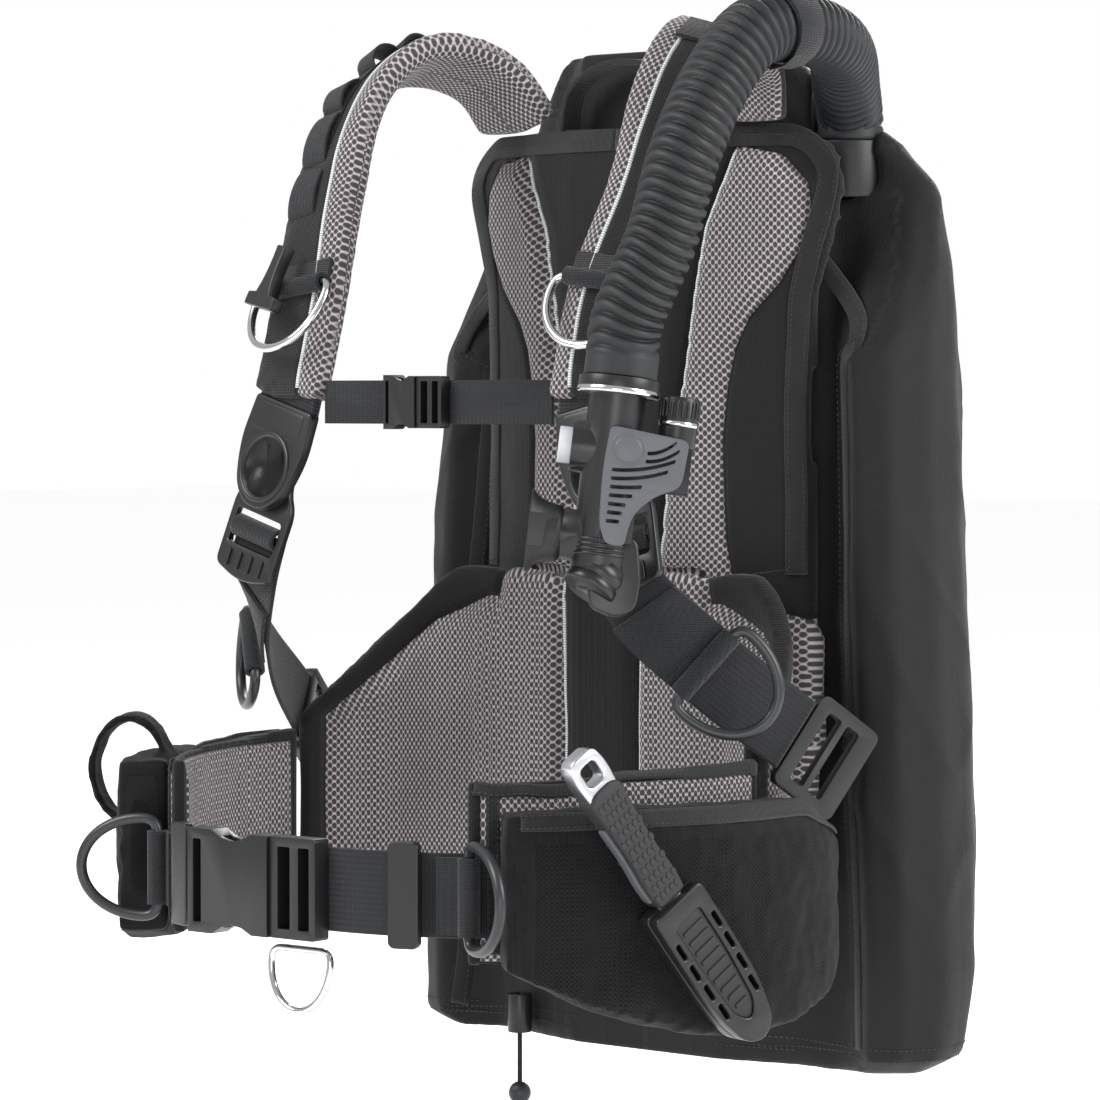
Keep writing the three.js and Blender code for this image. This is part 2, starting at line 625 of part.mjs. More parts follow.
// ---- Strap tails: webbing that hangs below the swivel plate and ends in a pull ring ----
const tail = { steps: 32, start: 13 / 32, end: 19 / 32 }; // shares of the lower strap's length
for (const s of [-1, 1]) {
  const side = s < 0 ? 'right' : 'left';
  const g = buckleGroup[s];
  add(g, `shoulder_buckle_${side}`, upperPlate(), blackPlastic);
  add(g, `shoulder_swivel_${side}`, lowerPlate(), blackPlastic);
  const ribbon = flat(webbing.shoulder - 6, webbing.thick);
  add(vest, `lower_strap_${side}`, lower[s].solid(ribbon, 0, 1, tail.steps), blackWebbing);
  // the tail lies along the lower strap and ends in a fold round the pull ring's bar
  const t = tail.end + 0.03;
  const above = webbing.thick / 2 + gap + 0.65;
  const fold = lower[s].seat(t, above + 0.8 + tabLift(plasticRing));
  fold.updateMatrixWorld(true);
  const strip = lower[s].solid(
    flat(webbing.shoulder - 6, webbing.thick, above + webbing.thick / 2),
    tail.start, tail.end, (tail.end - tail.start) * tail.steps,
  );
  strip.applyMatrix4(fold.matrixWorld.clone().invert());
  add(fold, `strap_ring_tab_${side}`, join(tabFold(plasticRing, 9, 44), strip), blackWebbing);
  add(fold, `strap_ring_${side}`, ringWire({ ...plasticRing, width: 58 }, 0.35), blackPlastic);

  // ladder-lock at the hip, just past the lower strap's end
  const lock = lower[s].seat(1);
  const frame = roundedRect(-29, 29, -45, -gap, 5);
  frame.holes.push(roundedRect(-22, 22, -19, -9, 2, THREE.Path));
  frame.holes.push(roundedRect(-22, 22, -33, -23, 2, THREE.Path));
  add(lock, `hip_adjuster_${side}`, slab(frame, -3, 3), blackPlastic);
}

// ---- Sternum strap ----
const sternumZ = chest.height - 1;
const sternumY = -chest.depth - 12;
for (const s of [-1, 1]) {
  const side = s < 0 ? 'right' : 'left';
  const half = webbing.sternum / 2;
  const long = boxFrom(0, chest.half - 38, -webbing.thick / 2, webbing.thick / 2, -half, half);
  const placed = long.translate(gap, sternumY, sternumZ).scale(s, 1, 1);
  if (s < 0) placed.index.array.reverse();
  add(vest, `sternum_strap_${side}`, cut(placed, pocketCutter(s, gap)), blackWebbing);
}

// ---- Side-release buckles ----
// Local axes: x along the strap, y up, z outward from the webbing's face. The plug points to -x.
function buckleSocket({ left, split, half, thick }) {
  const s = new THREE.Shape();
  const w = split - left;
  s.moveTo(left, -half);
  s.lineTo(left + 0.3 * w, -half);
  s.quadraticCurveTo(left + 0.55 * w, -half * 0.62, left + 0.8 * w, -half * 0.96);
  s.lineTo(split - gap, -half * 0.96);
  s.lineTo(split - gap, half * 0.96);
  s.lineTo(left + 0.8 * w, half * 0.96);
  s.quadraticCurveTo(left + 0.55 * w, half * 0.62, left + 0.3 * w, half);
  s.lineTo(left, half);
  s.holes.push(roundedRect(left + 0.07 * w, left + 0.17 * w, -half * 0.8, half * 0.8, 1, THREE.Path));
  const mouth = boxFrom(left + 0.4 * w, split + 1, -half * 0.88, half * 0.88, thick * 0.27, thick * 0.77);
  return cut(slab(s, 0, thick), mouth);
}
function bucklePlug({ left, split, right, half, thick }) {
  const w = split - left;
  const frame = roundedRect(split, right, -half * 0.96, half * 0.96, 2);
  const bar = (right - split) * 0.3;
  for (const [from, to] of [[0.6, 1.5], [2.1, 2.9]]) {
    const [x0, x1] = [split + from * bar, split + to * bar];
    frame.holes.push(roundedRect(x0, x1, -half * 0.78, half * 0.78, 1, THREE.Path));
  }
  const prong = (s) => {
    const p = new THREE.Shape();
    p.moveTo(split + 1, s * half * 0.5);
    p.lineTo(split + 1, s * half * 0.72);
    p.lineTo(left + 0.62 * w, s * half * 0.66);
    p.lineTo(left + 0.6 * w, s * half * 0.84);
    p.quadraticCurveTo(left + 0.46 * w, s * half * 0.7, left + 0.46 * w, s * half * 0.5);
    return slab(p, thick * 0.33, thick * 0.7);
  };
  const tongue = boxFrom(left + 0.5 * w, split + 1, -half * 0.12, half * 0.12, thick * 0.33, thick * 0.7);
  return join(slab(frame, 0, thick * 0.85), prong(1), prong(-1), tongue);
}
function buckleSeat(y, z, thick) {
  return seatAt(V(0, y - webbing.thick / 2 - gap, z), V(1, 0, 0), V(0, 0, 1), V(0, -1, 0));
}
const sternumSeat = buckleSeat(sternumY, sternumZ);
add(sternumSeat, 'sternum_buckle_socket', buckleSocket(sternumBuckle), blackPlastic);
add(sternumSeat, 'sternum_buckle_plug', bucklePlug(sternumBuckle), blackPlastic);
const waistY = hip[1].frame(1, beltLift).p.y;
const waistSeat = buckleSeat(waistY, waist.height);
add(waistSeat, 'waist_buckle_socket', buckleSocket(waistBuckle), blackPlastic);
add(waistSeat, 'waist_buckle_plug', bucklePlug(waistBuckle), blackPlastic);

add(waistRing, 'waist_ring', ringWire(beltRing, 0.1), steel);

// ---- Belt sliders and the hip rings beside them ----
for (const s of [-1, 1]) {
  const side = s < 0 ? 'right' : 'left';
  const outside = beltLift + webbing.thick / 2 + gap;
  const slider = hip[s].frame(0.865, outside);
  const up = V(0, 0, 1);
  const across = (f) => up.clone().cross(f.z);
  const bar = roundedRect(-9, 9, -waistBuckle.half, waistBuckle.half, 4);
  add(seatAt(slider.p, across(slider), up, slider.z), `belt_slider_${side}`, slab(bar, 0.3, 6), blackPlastic);
  // the ring's bar stands upright, and its bow points away from the belt and to the rear
  const seat = hip[s].frame(0.795, outside + 0.3 + tabLift(plasticRing));
  const forward = hip[s].path.getTangent(0.795);
  const group = seatAt(seat.p, forward.clone().cross(seat.z), forward, seat.z);
  add(group, `hip_ring_tab_${side}`, tabFold(plasticRing, 18, 42), blackWebbing);
  add(group, `hip_ring_${side}`, ringWire({ ...plasticRing, width: 56 }, 1.15), blackPlastic);
}

// ---- Knife in its sheath, slanting down the outside of the left pocket ----
{
  const t = hip[1].find('y', -212, 0.3, 1);
  const f = slanted(1, t, pouchLift + pouch.thick / 2 + gap + 0.5, pouch.bottom + 40, 0.93);
  const group = seatAt(f.p, f.x, f.y, f.z);
  const half = sheath.length / 2;
  const outline = new THREE.Shape();
  outline.moveTo(-sheath.width / 2, half);
  outline.lineTo(sheath.width / 2, half);
  outline.lineTo(sheath.width * 0.44, -half * 0.6);
  outline.quadraticCurveTo(sheath.width * 0.36, -half, sheath.width * 0.12, -half);
  outline.lineTo(-sheath.width * 0.12, -half);
  outline.quadraticCurveTo(-sheath.width * 0.36, -half, -sheath.width * 0.44, -half * 0.6);
  const blade = (grow) => {
    const b = new THREE.Shape();
    b.moveTo(-11 - grow, half + 1);
    b.lineTo(11 + grow, half + 1);
    b.lineTo(11 + grow, half - knife.blade * 0.6);
    b.lineTo(0, half - knife.blade - grow * 2);
    b.lineTo(-11 - grow, half - knife.blade * 0.6);
    return b;
  };
  const middle = sheath.thick / 2;
  const cavity = slab(blade(0.6), middle - 2.4, middle + 2.4);
  add(group, 'knife_sheath', cut(slab(outline, 0, sheath.thick), cavity), blackPlastic);
  const handle = new THREE.Shape();
  const top = half + gap;
  handle.moveTo(-15, top);
  handle.lineTo(15, top);
  handle.quadraticCurveTo(10, top + 14, 12.5, top + 40);
  handle.lineTo(11, top + knife.handle - 30);
  handle.lineTo(14, top + knife.handle - 22);
  handle.lineTo(11, top + knife.handle);
  handle.lineTo(-11, top + knife.handle);
  handle.lineTo(-14, top + knife.handle - 22);
  handle.lineTo(-11, top + knife.handle - 30);
  handle.lineTo(-12.5, top + 40);
  handle.quadraticCurveTo(-10, top + 14, -15, top);
  handle.holes.push(roundedRect(-6, 6, top + knife.handle - 20, top + knife.handle - 6, 3, THREE.Path));
  const grips = slab(handle, middle - knife.thick / 2, middle + knife.thick / 2);
  add(group, 'knife', join(grips, slab(blade(0), middle - 1.8, middle + 1.8)), steel);
}

// ---- Air hose: up from the elbow on the left lobe, over the shoulder and down the chest ----
const elbowPost = post(elbow.radius, elbow.z, elbow.z + elbow.height);
add(vest, 'hose_elbow', moved(elbowPost, elbow.x, elbow.y, 0), rubber);
add(vest, 'corrugated_hose', tube(hosePath, hose.radius, 30, 14), rubber);

// The retainer is a webbing loop round the hose with a tongue sewn to the top of the shoulder pad.
{
  const t = 0.45;
  const bore = hose.radius + 1.3;
  const loop = (radius, t0, t1) => tube(hosePath, radius, 2, 16, t0, t1);
  const ring = cut(loop(bore + webbing.thick, t - 0.022, t + 0.022), loop(bore, t - 0.04, t + 0.04));
  const y = hosePath.getPoint(t).y;
  const f = strap[1].frame(strap[1].find('y', y), padFace + gap + webbing.thick / 2);
  const tongue = boxFrom(-16, 38, -12, 12, -webbing.thick / 2, webbing.thick / 2)
    .applyMatrix4(new THREE.Matrix4().makeBasis(f.x, f.y, f.z).setPosition(f.p));
  add(vest, 'hose_retainer', cut(join(ring, tongue), loop(bore, t - 0.08, t + 0.08)), blackWebbing);
}

// ---- Power inflator ----
// Local axes: origin at the foot of the body, x towards the low-pressure fitting, y inward, z up the body.
{
  const z = inflatorUp;
  const x = V(0.766, 0.643, 0);
  x.addScaledVector(z, -x.dot(z)).normalize();
  const group = seatAt(inflatorFoot, x, z.clone().cross(x), z);
  const top = hoseEnd.distanceTo(inflatorFoot) - gap;
  const r = inflator.radius;
  const arm = (radius, from, to, height) => {
    const lying = new THREE.CylinderGeometry(radius, radius, to - from, 16).rotateZ(Math.PI / 2);
    return lying.translate((from + to) / 2, 0, height);
  };
  const body = join(
    post(r, 0, top), post(22, top - 8, top, 24),
    boxFrom(0, 43, -11, 9, 52, 76), boxFrom(0, 16, -11, 9, 22, 60), post(7, 70, 88, 12).translate(34, 0, 0),
    arm(13, -22, 0, 72), arm(10, -24, 0, 24),
  );
  const mouthBore = arm(6, -30, -14, 24);
  const buttonBore = arm(10.4, -30, -13, 72);
  add(group, 'inflator_body', cut(body, post(11.4, -5, 12), buttonBore, mouthBore), blackPlastic);
  add(group, 'deflate_button', post(11, -5, 7), blackPlastic);
  add(group, 'inflate_button', arm(10, -29, -17.5, 72), paleButton);
  const mouth = join(
    arm(5.6, -30, -16, 24), arm(12, -32, -24.4, 24), boxFrom(-40, -31, -20, 20, 15, 33),
  );
  add(group, 'inflator_mouthpiece', mouth, rubber);
  const guard = new THREE.Shape();
  guard.moveTo(-2, 84);
  guard.lineTo(41, 80);
  guard.lineTo(39, 54);
  guard.quadraticCurveTo(16, 48, 12, 20);
  guard.lineTo(2, 20);
  guard.quadraticCurveTo(-4, 24, -4, 60);
  const plateBack = r + gap;
  const face = slab(guard, 0, 4).rotateX(Math.PI / 2).translate(0, -plateBack, 0);
  add(group, 'inflator_guard', face, greyPlastic);
  add(group, 'lp_collar', cut(post(10.5, 76.4, 104), post(7.4, 70, 94, 16)).translate(34, 0, 0), blackPlastic);
}

// ---- Carry handle over the top of the pack ----
{
  const points = [[-46, 0.5], [-42, 22], [-24, 36], [0, 40], [24, 36], [42, 22], [46, 0.5]];
  const path = new Strap(
    points.map(([x, z]) => V(x, -37, pack.top + gap + z)), points.map(([x, z]) => V(x, 0, z * 0.6 + 1)),
  );
  add(vest, 'carry_handle', path.solid(flat(16, 3), 0, 1, 12), blackWebbing);
}

// ---- Dump valve at the bottom of the right lobe, with its pull cord ----
{
  const valve = new THREE.Group();
  valve.position.set(-100, -12 - gap - 7.6, cell.bottom + 6);
  vest.add(valve);
  add(valve, 'dump_valve', cut(post(7.5, -2, 22, 16), post(2.2, -5, 30, 12)), blackPlastic);
  const cord = post(1.5, -38, 16, 8);
  const ball = new THREE.SphereGeometry(7, 12, 8).translate(0, 0, -40);
  add(valve, 'dump_pull', join(cord, ball), blackPlastic);
}

// ---- Cam buckle on the tank band, behind the tank ----
{
  const y = tankRadius + tankRadius + gap + webbing.thick + gap;
  const group = seatAt(V(0, y, bandRise), V(-1, 0, 0), V(0, 0, 1), V(0, 1, 0));
  const ears = [-1, 1].map((s) => boxFrom(22, 32, s * 24.5 - 2.5, s * 24.5 + 2.5, 3, 13));
  add(group, 'cam_buckle_plate', join(boxFrom(-32, 32, -27, 27, 0, 4), ...ears), blackPlastic);
  const hinge = new THREE.Group();
  hinge.position.set(27, 0, 8.5);
  group.add(hinge);
  const barrel = new THREE.CylinderGeometry(4, 4, 43, 12);
  add(hinge, 'cam_lever', join(barrel, boxFrom(-56, 0, -21.5, 21.5, -3.5, 2)), blackPlastic);
}

export default vest;
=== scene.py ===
import json
import math

import bmesh
import bpy
import numpy as np
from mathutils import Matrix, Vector, noise
from mathutils.bvhtree import BVHTree


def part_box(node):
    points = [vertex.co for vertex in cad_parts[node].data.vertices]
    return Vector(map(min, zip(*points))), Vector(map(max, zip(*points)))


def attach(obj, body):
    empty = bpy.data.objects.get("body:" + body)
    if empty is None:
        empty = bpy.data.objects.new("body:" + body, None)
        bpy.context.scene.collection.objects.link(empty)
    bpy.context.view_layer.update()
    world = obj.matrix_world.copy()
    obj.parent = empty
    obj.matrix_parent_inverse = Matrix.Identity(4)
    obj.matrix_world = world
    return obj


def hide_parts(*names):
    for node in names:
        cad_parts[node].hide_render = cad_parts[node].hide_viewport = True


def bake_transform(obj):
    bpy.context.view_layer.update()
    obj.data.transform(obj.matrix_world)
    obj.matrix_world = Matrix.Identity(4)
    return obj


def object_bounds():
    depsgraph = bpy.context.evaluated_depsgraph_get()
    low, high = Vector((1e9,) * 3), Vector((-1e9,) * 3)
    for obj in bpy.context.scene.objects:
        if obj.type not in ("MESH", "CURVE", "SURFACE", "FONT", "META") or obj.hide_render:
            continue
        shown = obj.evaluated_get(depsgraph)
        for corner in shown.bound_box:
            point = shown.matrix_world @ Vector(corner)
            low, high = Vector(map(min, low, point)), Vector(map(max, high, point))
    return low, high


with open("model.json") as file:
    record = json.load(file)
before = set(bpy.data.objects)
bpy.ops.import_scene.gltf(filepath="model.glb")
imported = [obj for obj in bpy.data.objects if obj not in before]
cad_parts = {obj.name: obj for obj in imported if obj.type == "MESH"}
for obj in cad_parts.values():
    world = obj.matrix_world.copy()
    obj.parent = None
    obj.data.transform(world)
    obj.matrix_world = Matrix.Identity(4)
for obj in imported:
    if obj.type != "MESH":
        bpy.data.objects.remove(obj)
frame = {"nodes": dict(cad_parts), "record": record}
cad_box = [list(corner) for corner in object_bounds()]
MM = 0.001
bodies = frame["record"]["behaviour"]["bodies"]
body_of_node = {node: body for body, nodes in bodies.items() for node in nodes}
slot_of_node = {part["node"]: part["material_slot"] for part in frame["record"]["subparts"]}

# ---- Camera, lights and floor ----
# The vest is seen from its left front, nearly level, in a bright studio.
AZIMUTH, ELEVATION, DISTANCE = math.radians(40), math.radians(2), 2.55
away = Vector((math.sin(AZIMUTH) * math.cos(ELEVATION), -math.cos(AZIMUTH) * math.cos(ELEVATION),
               math.sin(ELEVATION)))
camera_data = bpy.data.cameras.new("camera")
camera_data.lens, camera_data.sensor_width = 141.9, 36
target = Vector((0, -0.110, 0))
camera = bpy.data.objects.new("camera", camera_data)
camera.location = target + away * DISTANCE
camera.rotation_euler = away.to_track_quat("Z", "Y").to_euler()
bpy.context.scene.collection.objects.link(camera)
bpy.context.scene.camera = camera


def softbox(name, azimuth, height, distance, size, power):
    """A square area light that faces the vest from that side."""
    data = bpy.data.lights.new(name, "AREA")
    data.shape, data.size, data.energy = "SQUARE", size, power
    light = bpy.data.objects.new(name, data)
    a = math.radians(azimuth)
    light.location = (distance * math.sin(a), -distance * math.cos(a), height)
    light.rotation_euler = light.location.to_track_quat("Z", "Y").to_euler()
    bpy.context.scene.collection.objects.link(light)


softbox("key_light", -25, 1.5, 2.0, 1.3, 52)
softbox("side_light", 100, 0.9, 1.9, 1.2, 40)
softbox("back_light", 205, 1.3, 2.0, 1.4, 36)
softbox("low_light", 35, -0.1, 2.6, 1.0, 14)
# the vest is lit by a dimmer white than the backdrop that the camera sees
ROOM_LIGHT, BACKDROP_LIGHT = 0.62, 1.0
world = bpy.data.worlds.new("studio")
world.use_nodes = True
sky = world.node_tree
room, backdrop = sky.nodes["Background"], sky.nodes.new("ShaderNodeBackground")
for shade, strength in ((room, ROOM_LIGHT), (backdrop, BACKDROP_LIGHT)):
    shade.inputs["Color"].default_value, shade.inputs["Strength"].default_value = (1, 1, 1, 1), strength
seen, either = sky.nodes.new("ShaderNodeLightPath"), sky.nodes.new("ShaderNodeMixShader")
for source, into in ((seen.outputs["Is Camera Ray"], either.inputs[0]), (room.outputs[0], either.inputs[1]),
                     (backdrop.outputs[0], either.inputs[2]),
                     (either.outputs[0], sky.nodes["World Output"].inputs["Surface"])):
    sky.links.new(source, into)
bpy.context.scene.world = world
bpy.context.scene.view_settings.view_transform = "Standard"


class Field:
    """A socket of a material's node tree, so that its maths reads as plain expressions."""

    def __init__(self, tree, socket):
        self.tree, self.socket = tree, socket

    def math(self, operation, *others):
        node = self.tree.nodes.new("ShaderNodeMath")
        node.operation = operation
        for slot, value in zip(node.inputs, (self, *others)):
            if isinstance(value, Field):
                self.tree.links.new(value.socket, slot)
            else:
                slot.default_value = value
        return Field(self.tree, node.outputs[0])

    def __add__(self, other):
        return self.math("ADD", other)

    def __sub__(self, other):
        return self.math("SUBTRACT", other)

    def __rsub__(self, other):
        return self.math("MULTIPLY_ADD", -1.0, other)

    def __mul__(self, other):
        return self.math("MULTIPLY", other)

    def __truediv__(self, other):
        return self.math("DIVIDE", other)

    __radd__, __rmul__ = __add__, __mul__

    def ramp(self, low, high):
        """0 up to low and 1 from high, smooth between."""
        node = self.tree.nodes.new("ShaderNodeMapRange")
        node.interpolation_type = "SMOOTHSTEP"
        self.tree.links.new(self.socket, node.inputs["Value"])
        node.inputs["From Min"].default_value, node.inputs["From Max"].default_value = low, high
        return Field(self.tree, node.outputs[0])


class Finish:
    """A procedural material: its Principled shader and the nodes that vary it."""

    def __init__(self, name, **fixed):
        self.material = bpy.data.materials.new(name)
        self.material.use_nodes = True
        self.tree = self.material.node_tree
        self.shader = self.tree.nodes["Principled BSDF"]
        for key, value in fixed.items():
            self.shader.inputs[key.replace("_", " ")].default_value = value

    def node(self, kind, settings=(), out=0, values=()):
        """A node of that type, with its settings made first and then its sockets' values or links."""
        node = self.tree.nodes.new("ShaderNode" + kind)
        for key, value in dict(settings).items():
            setattr(node, key, value)
        for key, value in dict(values).items():
            if isinstance(value, Field):
                self.tree.links.new(value.socket, node.inputs[key])
            else:
                node.inputs[key].default_value = value
        return Field(self.tree, node.outputs[out])

    def place(self, source):
        """The three coordinates of the object or of its UV map, in millimetres."""
        split = self.node("SeparateXYZ", values={0: self.node("TexCoord", out=source)}).socket.node
        return [Field(self.tree, socket) * 1000 for socket in split.outputs]

    def attribute(self, name):
        return self.node("Attribute", {"attribute_name": name}, "Fac")

    def noise(self, size, detail=2.0, source="Object"):
        """Soft noise from 0 to 1 whose features are about size millimetres across."""
        return self.node("TexNoise", values={"Vector": self.node("TexCoord", out=source),
                                             "Scale": 1000 / size, "Detail": detail})

    def mix(self, mask, a, b):
        """Colour a where the mask is 0 and b where it is 1."""
        return self.node("Mix", {"data_type": "RGBA"}, 2, {0: mask, 6: a, 7: b})

    def feed(self, **fields):
        for key, field in fields.items():
            self.tree.links.new(field.socket, self.shader.inputs[key.replace("_", " ")])
        return self

    def bump(self, height, deep, strength=1.0):
        """Relief whose full height is deep millimetres."""
        normal = self.node("Bump", values={"Height": height, "Distance": deep * MM, "Strength": strength})
        return self.feed(Normal=normal)


floor_finish = Finish("studio_floor", Roughness=0.9, Emission_Strength=0.42)
floor_shade = floor_finish.mix(floor_finish.noise(900), (0.86, 0.86, 0.86, 1), (0.9, 0.9, 0.9, 1))
floor_finish.feed(Base_Color=floor_shade)
floor_finish.shader.inputs["Emission Color"].default_value = (1, 1, 1, 1)
floor_mesh = bpy.data.meshes.new("studio_floor")
floor_low, floor_size = cad_box[0][2] - 0.012, 14.0
floor_corners = [(i * floor_size, j * floor_size, floor_low) for i, j in ((-1, -1), (1, -1), (1, 1), (-1, 1))]
floor_mesh.from_pydata(floor_corners, [], [(0, 1, 2, 3)])
floor_mesh.materials.append(floor_finish.material)
floor = bpy.data.objects.new("studio_floor", floor_mesh)
bpy.context.scene.collection.objects.link(floor)


# ---- Corrugated hose ----
# Moulded rubber hose of 40 mm outside, from the elbow on the left lobe to the power inflator.
# It is held at both ends and by the retainer on the shoulder; its ribs are chevrons seen from the front.
def run_lengths(points):
    """How far each point is along the line from its first point."""
    return np.concatenate([[0], np.cumsum(np.linalg.norm(np.diff(points, axis=0), axis=1))])


class Route:
    """A smooth line through points: t runs from 0 at the first point to 1 at the last."""

    def __init__(self, points, outward=None):
        self.points = np.array(points, float)
        self.outward = Route(outward) if outward is not None else None

    def at(self, t):
        p, last = self.points, len(self.points) - 1
        i = min(int(t * last), last - 1)
        w = t * last - i
        before = p[i - 1] if i > 0 else 2 * p[0] - p[1]
        after = p[i + 2] if i + 2 <= last else 2 * p[last] - p[last - 1]
        a, b = p[i], p[i + 1]
        pairs = ((before, a), (a, b), (b, after))
        d0, d1, d2 = (max(1e-3, math.sqrt(np.linalg.norm(q - r))) for q, r in pairs)
        m0 = ((a - before) / d0 - (b - before) / (d0 + d1) + (b - a) / d1) * d1
        m1 = ((b - a) / d1 - (after - a) / (d1 + d2) + (after - b) / d2) * d1
        return a + m0 * w + (3 * (b - a) - 2 * m0 - m1) * w**2 + (2 * (a - b) + m0 + m1) * w**3

    def along(self, t):
        d = self.at(min(t + 1e-4, 1)) - self.at(max(t - 1e-4, 0))
        return d / np.linalg.norm(d)

    def frame(self, t, lift=0.0, across=0.0):
        """Place and axes at t: x across, y back along the route, z outward."""
        y, z = -self.along(t), self.outward.at(t)
        z = z - y * z.dot(y)
        z /= np.linalg.norm(z)
        x = np.cross(y, z)
        return self.at(t) + z * lift + x * across, x, y, z

    def find(self, axis, value, t0=0.0, t1=1.0):
        rising = self.at(t1)[axis] > self.at(t0)[axis]
        for _ in range(40):
            t = (t0 + t1) / 2
            if (self.at(t)[axis] > value) == rising:
                t1 = t
            else:
                t0 = t
        return (t0 + t1) / 2

    def even(self, count, t0=0.0, t1=1.0):
        """count values of t at even distances along the line, and its length."""
        fine = np.linspace(t0, t1, 400)
        p = np.array([self.at(t) for t in fine])
        far = run_lengths(p)
        return np.interp(np.linspace(0, far[-1], count), far, fine), far[-1]


def to_object(name, mesh, finish=None):
    made = bpy.data.objects.new(name, mesh)
    if finish is not None:
        mesh.materials.clear()
        mesh.materials.append(finish.material)
    bpy.context.scene.collection.objects.link(made)
    return made


def sweep(name, rings, finish, uv=None):
    """A closed skin through rings of equally many points in millimetres. UV: round the ring and along it."""
    rings = np.array(rings, float)
    count, size = rings.shape[:2]
    around = run_lengths(np.vstack([rings[0], rings[0][:1]]))
    far = run_lengths(rings.mean(axis=1))
    faces, uvs = [], []
    for i in range(count - 1):
        j, v0, v1 = i + 1, far[i], far[i + 1]
        for k in range(size):
            m = (k + 1) % size
            faces.append((i * size + k, i * size + m, j * size + m, j * size + k))
            u0, u1 = (around[k], around[k + 1]) if uv is None else (uv[k], uv[m])
            uvs.append([(u0, v0), (u1, v0), (u1, v1), (u0, v1)])
    for base, row in ((0, range(size)), ((count - 1) * size, range(size - 1, -1, -1))):
        faces.append([base + k for k in row])
        uvs.append([(around[k], 0.0) for k in row])
    points = rings.reshape(-1, 3) * MM
    mesh = bpy.data.meshes.new(name)
    mesh.from_pydata([tuple(p) for p in points], [], faces)
    layer = mesh.uv_layers.new(name="UVMap")
    flat = [c for face in uvs for corner in face for c in corner]
    layer.data.foreach_set("uv", np.array(flat, np.float32) * MM)
    mesh.polygons.foreach_set("use_smooth", [True] * len(mesh.polygons))
    work = bmesh.new()
    work.from_mesh(mesh)
    bmesh.ops.recalc_face_normals(work, faces=work.faces)
    if work.calc_volume(signed=True) < 0:
        bmesh.ops.reverse_faces(work, faces=work.faces)
    work.to_mesh(mesh)
    work.free()
    return to_object(name, mesh, finish)


HOSE_RADIUS, RIB_PITCH = 20.0, 7.2
hose_foot, hose_end = np.array([112, 34, 242.4]), np.array([161.0, -243, 100])
inflator_foot = np.array([157.0, -258, -10])
inflator_up = (hose_end - inflator_foot) / np.linalg.norm(hose_end - inflator_foot)
hose_route = Route([
    hose_foot, hose_foot + [0, 0, 12], (124, 14, 272), (144, -18, 288), (160, -54, 295), (167, -94, 298),
    (170, -137, 292), (171, -172, 263), (174, -204, 221), (172, -221, 176),
    hose_end + 30 * inflator_up, hose_end + 8 * inflator_up, hose_end,
])
rubber = Finish("hose_rubber", Roughness=0.5, Specular_IOR_Level=0.3)
rubber_dust = rubber.noise(34, 4)
# painted shade: the hose's colour is lightest on each rib's crest and darkens into the grooves between the
# ribs, where shade falls
painted_shade_crest_mask = rubber.attribute("rib")
rubber_with_painted_groove_shade = rubber.mix(painted_shade_crest_mask * (0.55 + rubber_dust * 0.5), (0.003, 0.0032, 0.0035, 1),
                          (0.022, 0.024, 0.0265, 1))
rubber.feed(Base_Color=rubber_with_painted_groove_shade, Roughness=0.42 + rubber_dust * 0.22)
rubber.bump(rubber.noise(0.9, 2), 0.03)


def corrugated(name):
    sides = 40
    ts, length = hose_route.even(int(length_of_hose / 0.9))
    side, points = np.array([1.0, 0, 0]), []
    for t in ts:
        y = hose_route.along(t)
        side = side - y * side.dot(y)
        side /= np.linalg.norm(side)
        points.append((hose_route.at(t), y, side.copy(), np.cross(y, side)))
    rings, rib = [], []
    for i, (p, y, across, other) in enumerate(points):
        far = length * i / (len(points) - 1)
        ring = []
        for k in range(sides):
            turn = 2 * math.pi * k / sides
            out = across * math.cos(turn) + other * math.sin(turn)
            # the ribs are level behind, sweep down on one side and step like a chevron on the front
            front = out.dot(VIEW_SIDE)
            chevron = 3.4 * math.tanh(3.0 * (front + 0.25)) - 5.0 * max(front, -0.3) ** 2
            wave = math.cos(2 * math.pi * (far + chevron) / RIB_PITCH)
            crest = 0.5 + 0.5 * math.tanh(3.2 * (wave + 0.28))
            cuff = max(0.0, 1 - min(far - 4, length - 10 - far) / 9)
            crest = crest * (1 - min(1, cuff)) + min(1, cuff)
            ring.append(p + out * (HOSE_RADIUS - 2.6 * (1 - crest)))
            rib.append(crest)
        rings.append(ring)
    made = sweep(name, rings, rubber)
    # each point's crest height goes to the rubber's colour, which uses it to paint shade into the grooves
    made.data.attributes.new("rib", "FLOAT", "POINT").data.foreach_set("value", rib)
    return made, [tuple(p[0] * MM) for p in points]


length_of_hose = hose_route.even(2)[1]
VIEW_SIDE = np.array([0.92, -0.35, 0.1])
hose, hose_line = corrugated("air_hose")
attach(hose, "pack")
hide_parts("corrugated_hose")

# ---- Dump valve cord ----
# A thin braided cord out of the lower valve, knotted into a ball that the diver pulls.
braid = Finish("pull_cord", Specular_IOR_Level=0.22, Roughness=0.8)
u, v, _ = braid.place("UV")
braid.feed(Base_Color=braid.mix(braid.noise(2.5), (0.012, 0.012, 0.014, 1), (0.035, 0.035, 0.038, 1)))
braid.bump(((u + v) * 2.2).math("SINE") * ((u - v) * 2.2).math("SINE"), 0.25)
valve_low, valve_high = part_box("dump_pull")
pull_x, pull_y = (valve_low.x + valve_high.x) / 2 / MM, (valve_low.y + valve_high.y) / 2 / MM
pull_ball, pull_top = valve_low.z / MM + 7, valve_high.z / MM
pull_route = [(pull_x, pull_y, pull_top + (pull_ball - pull_top) * i / 18) for i in range(19)]


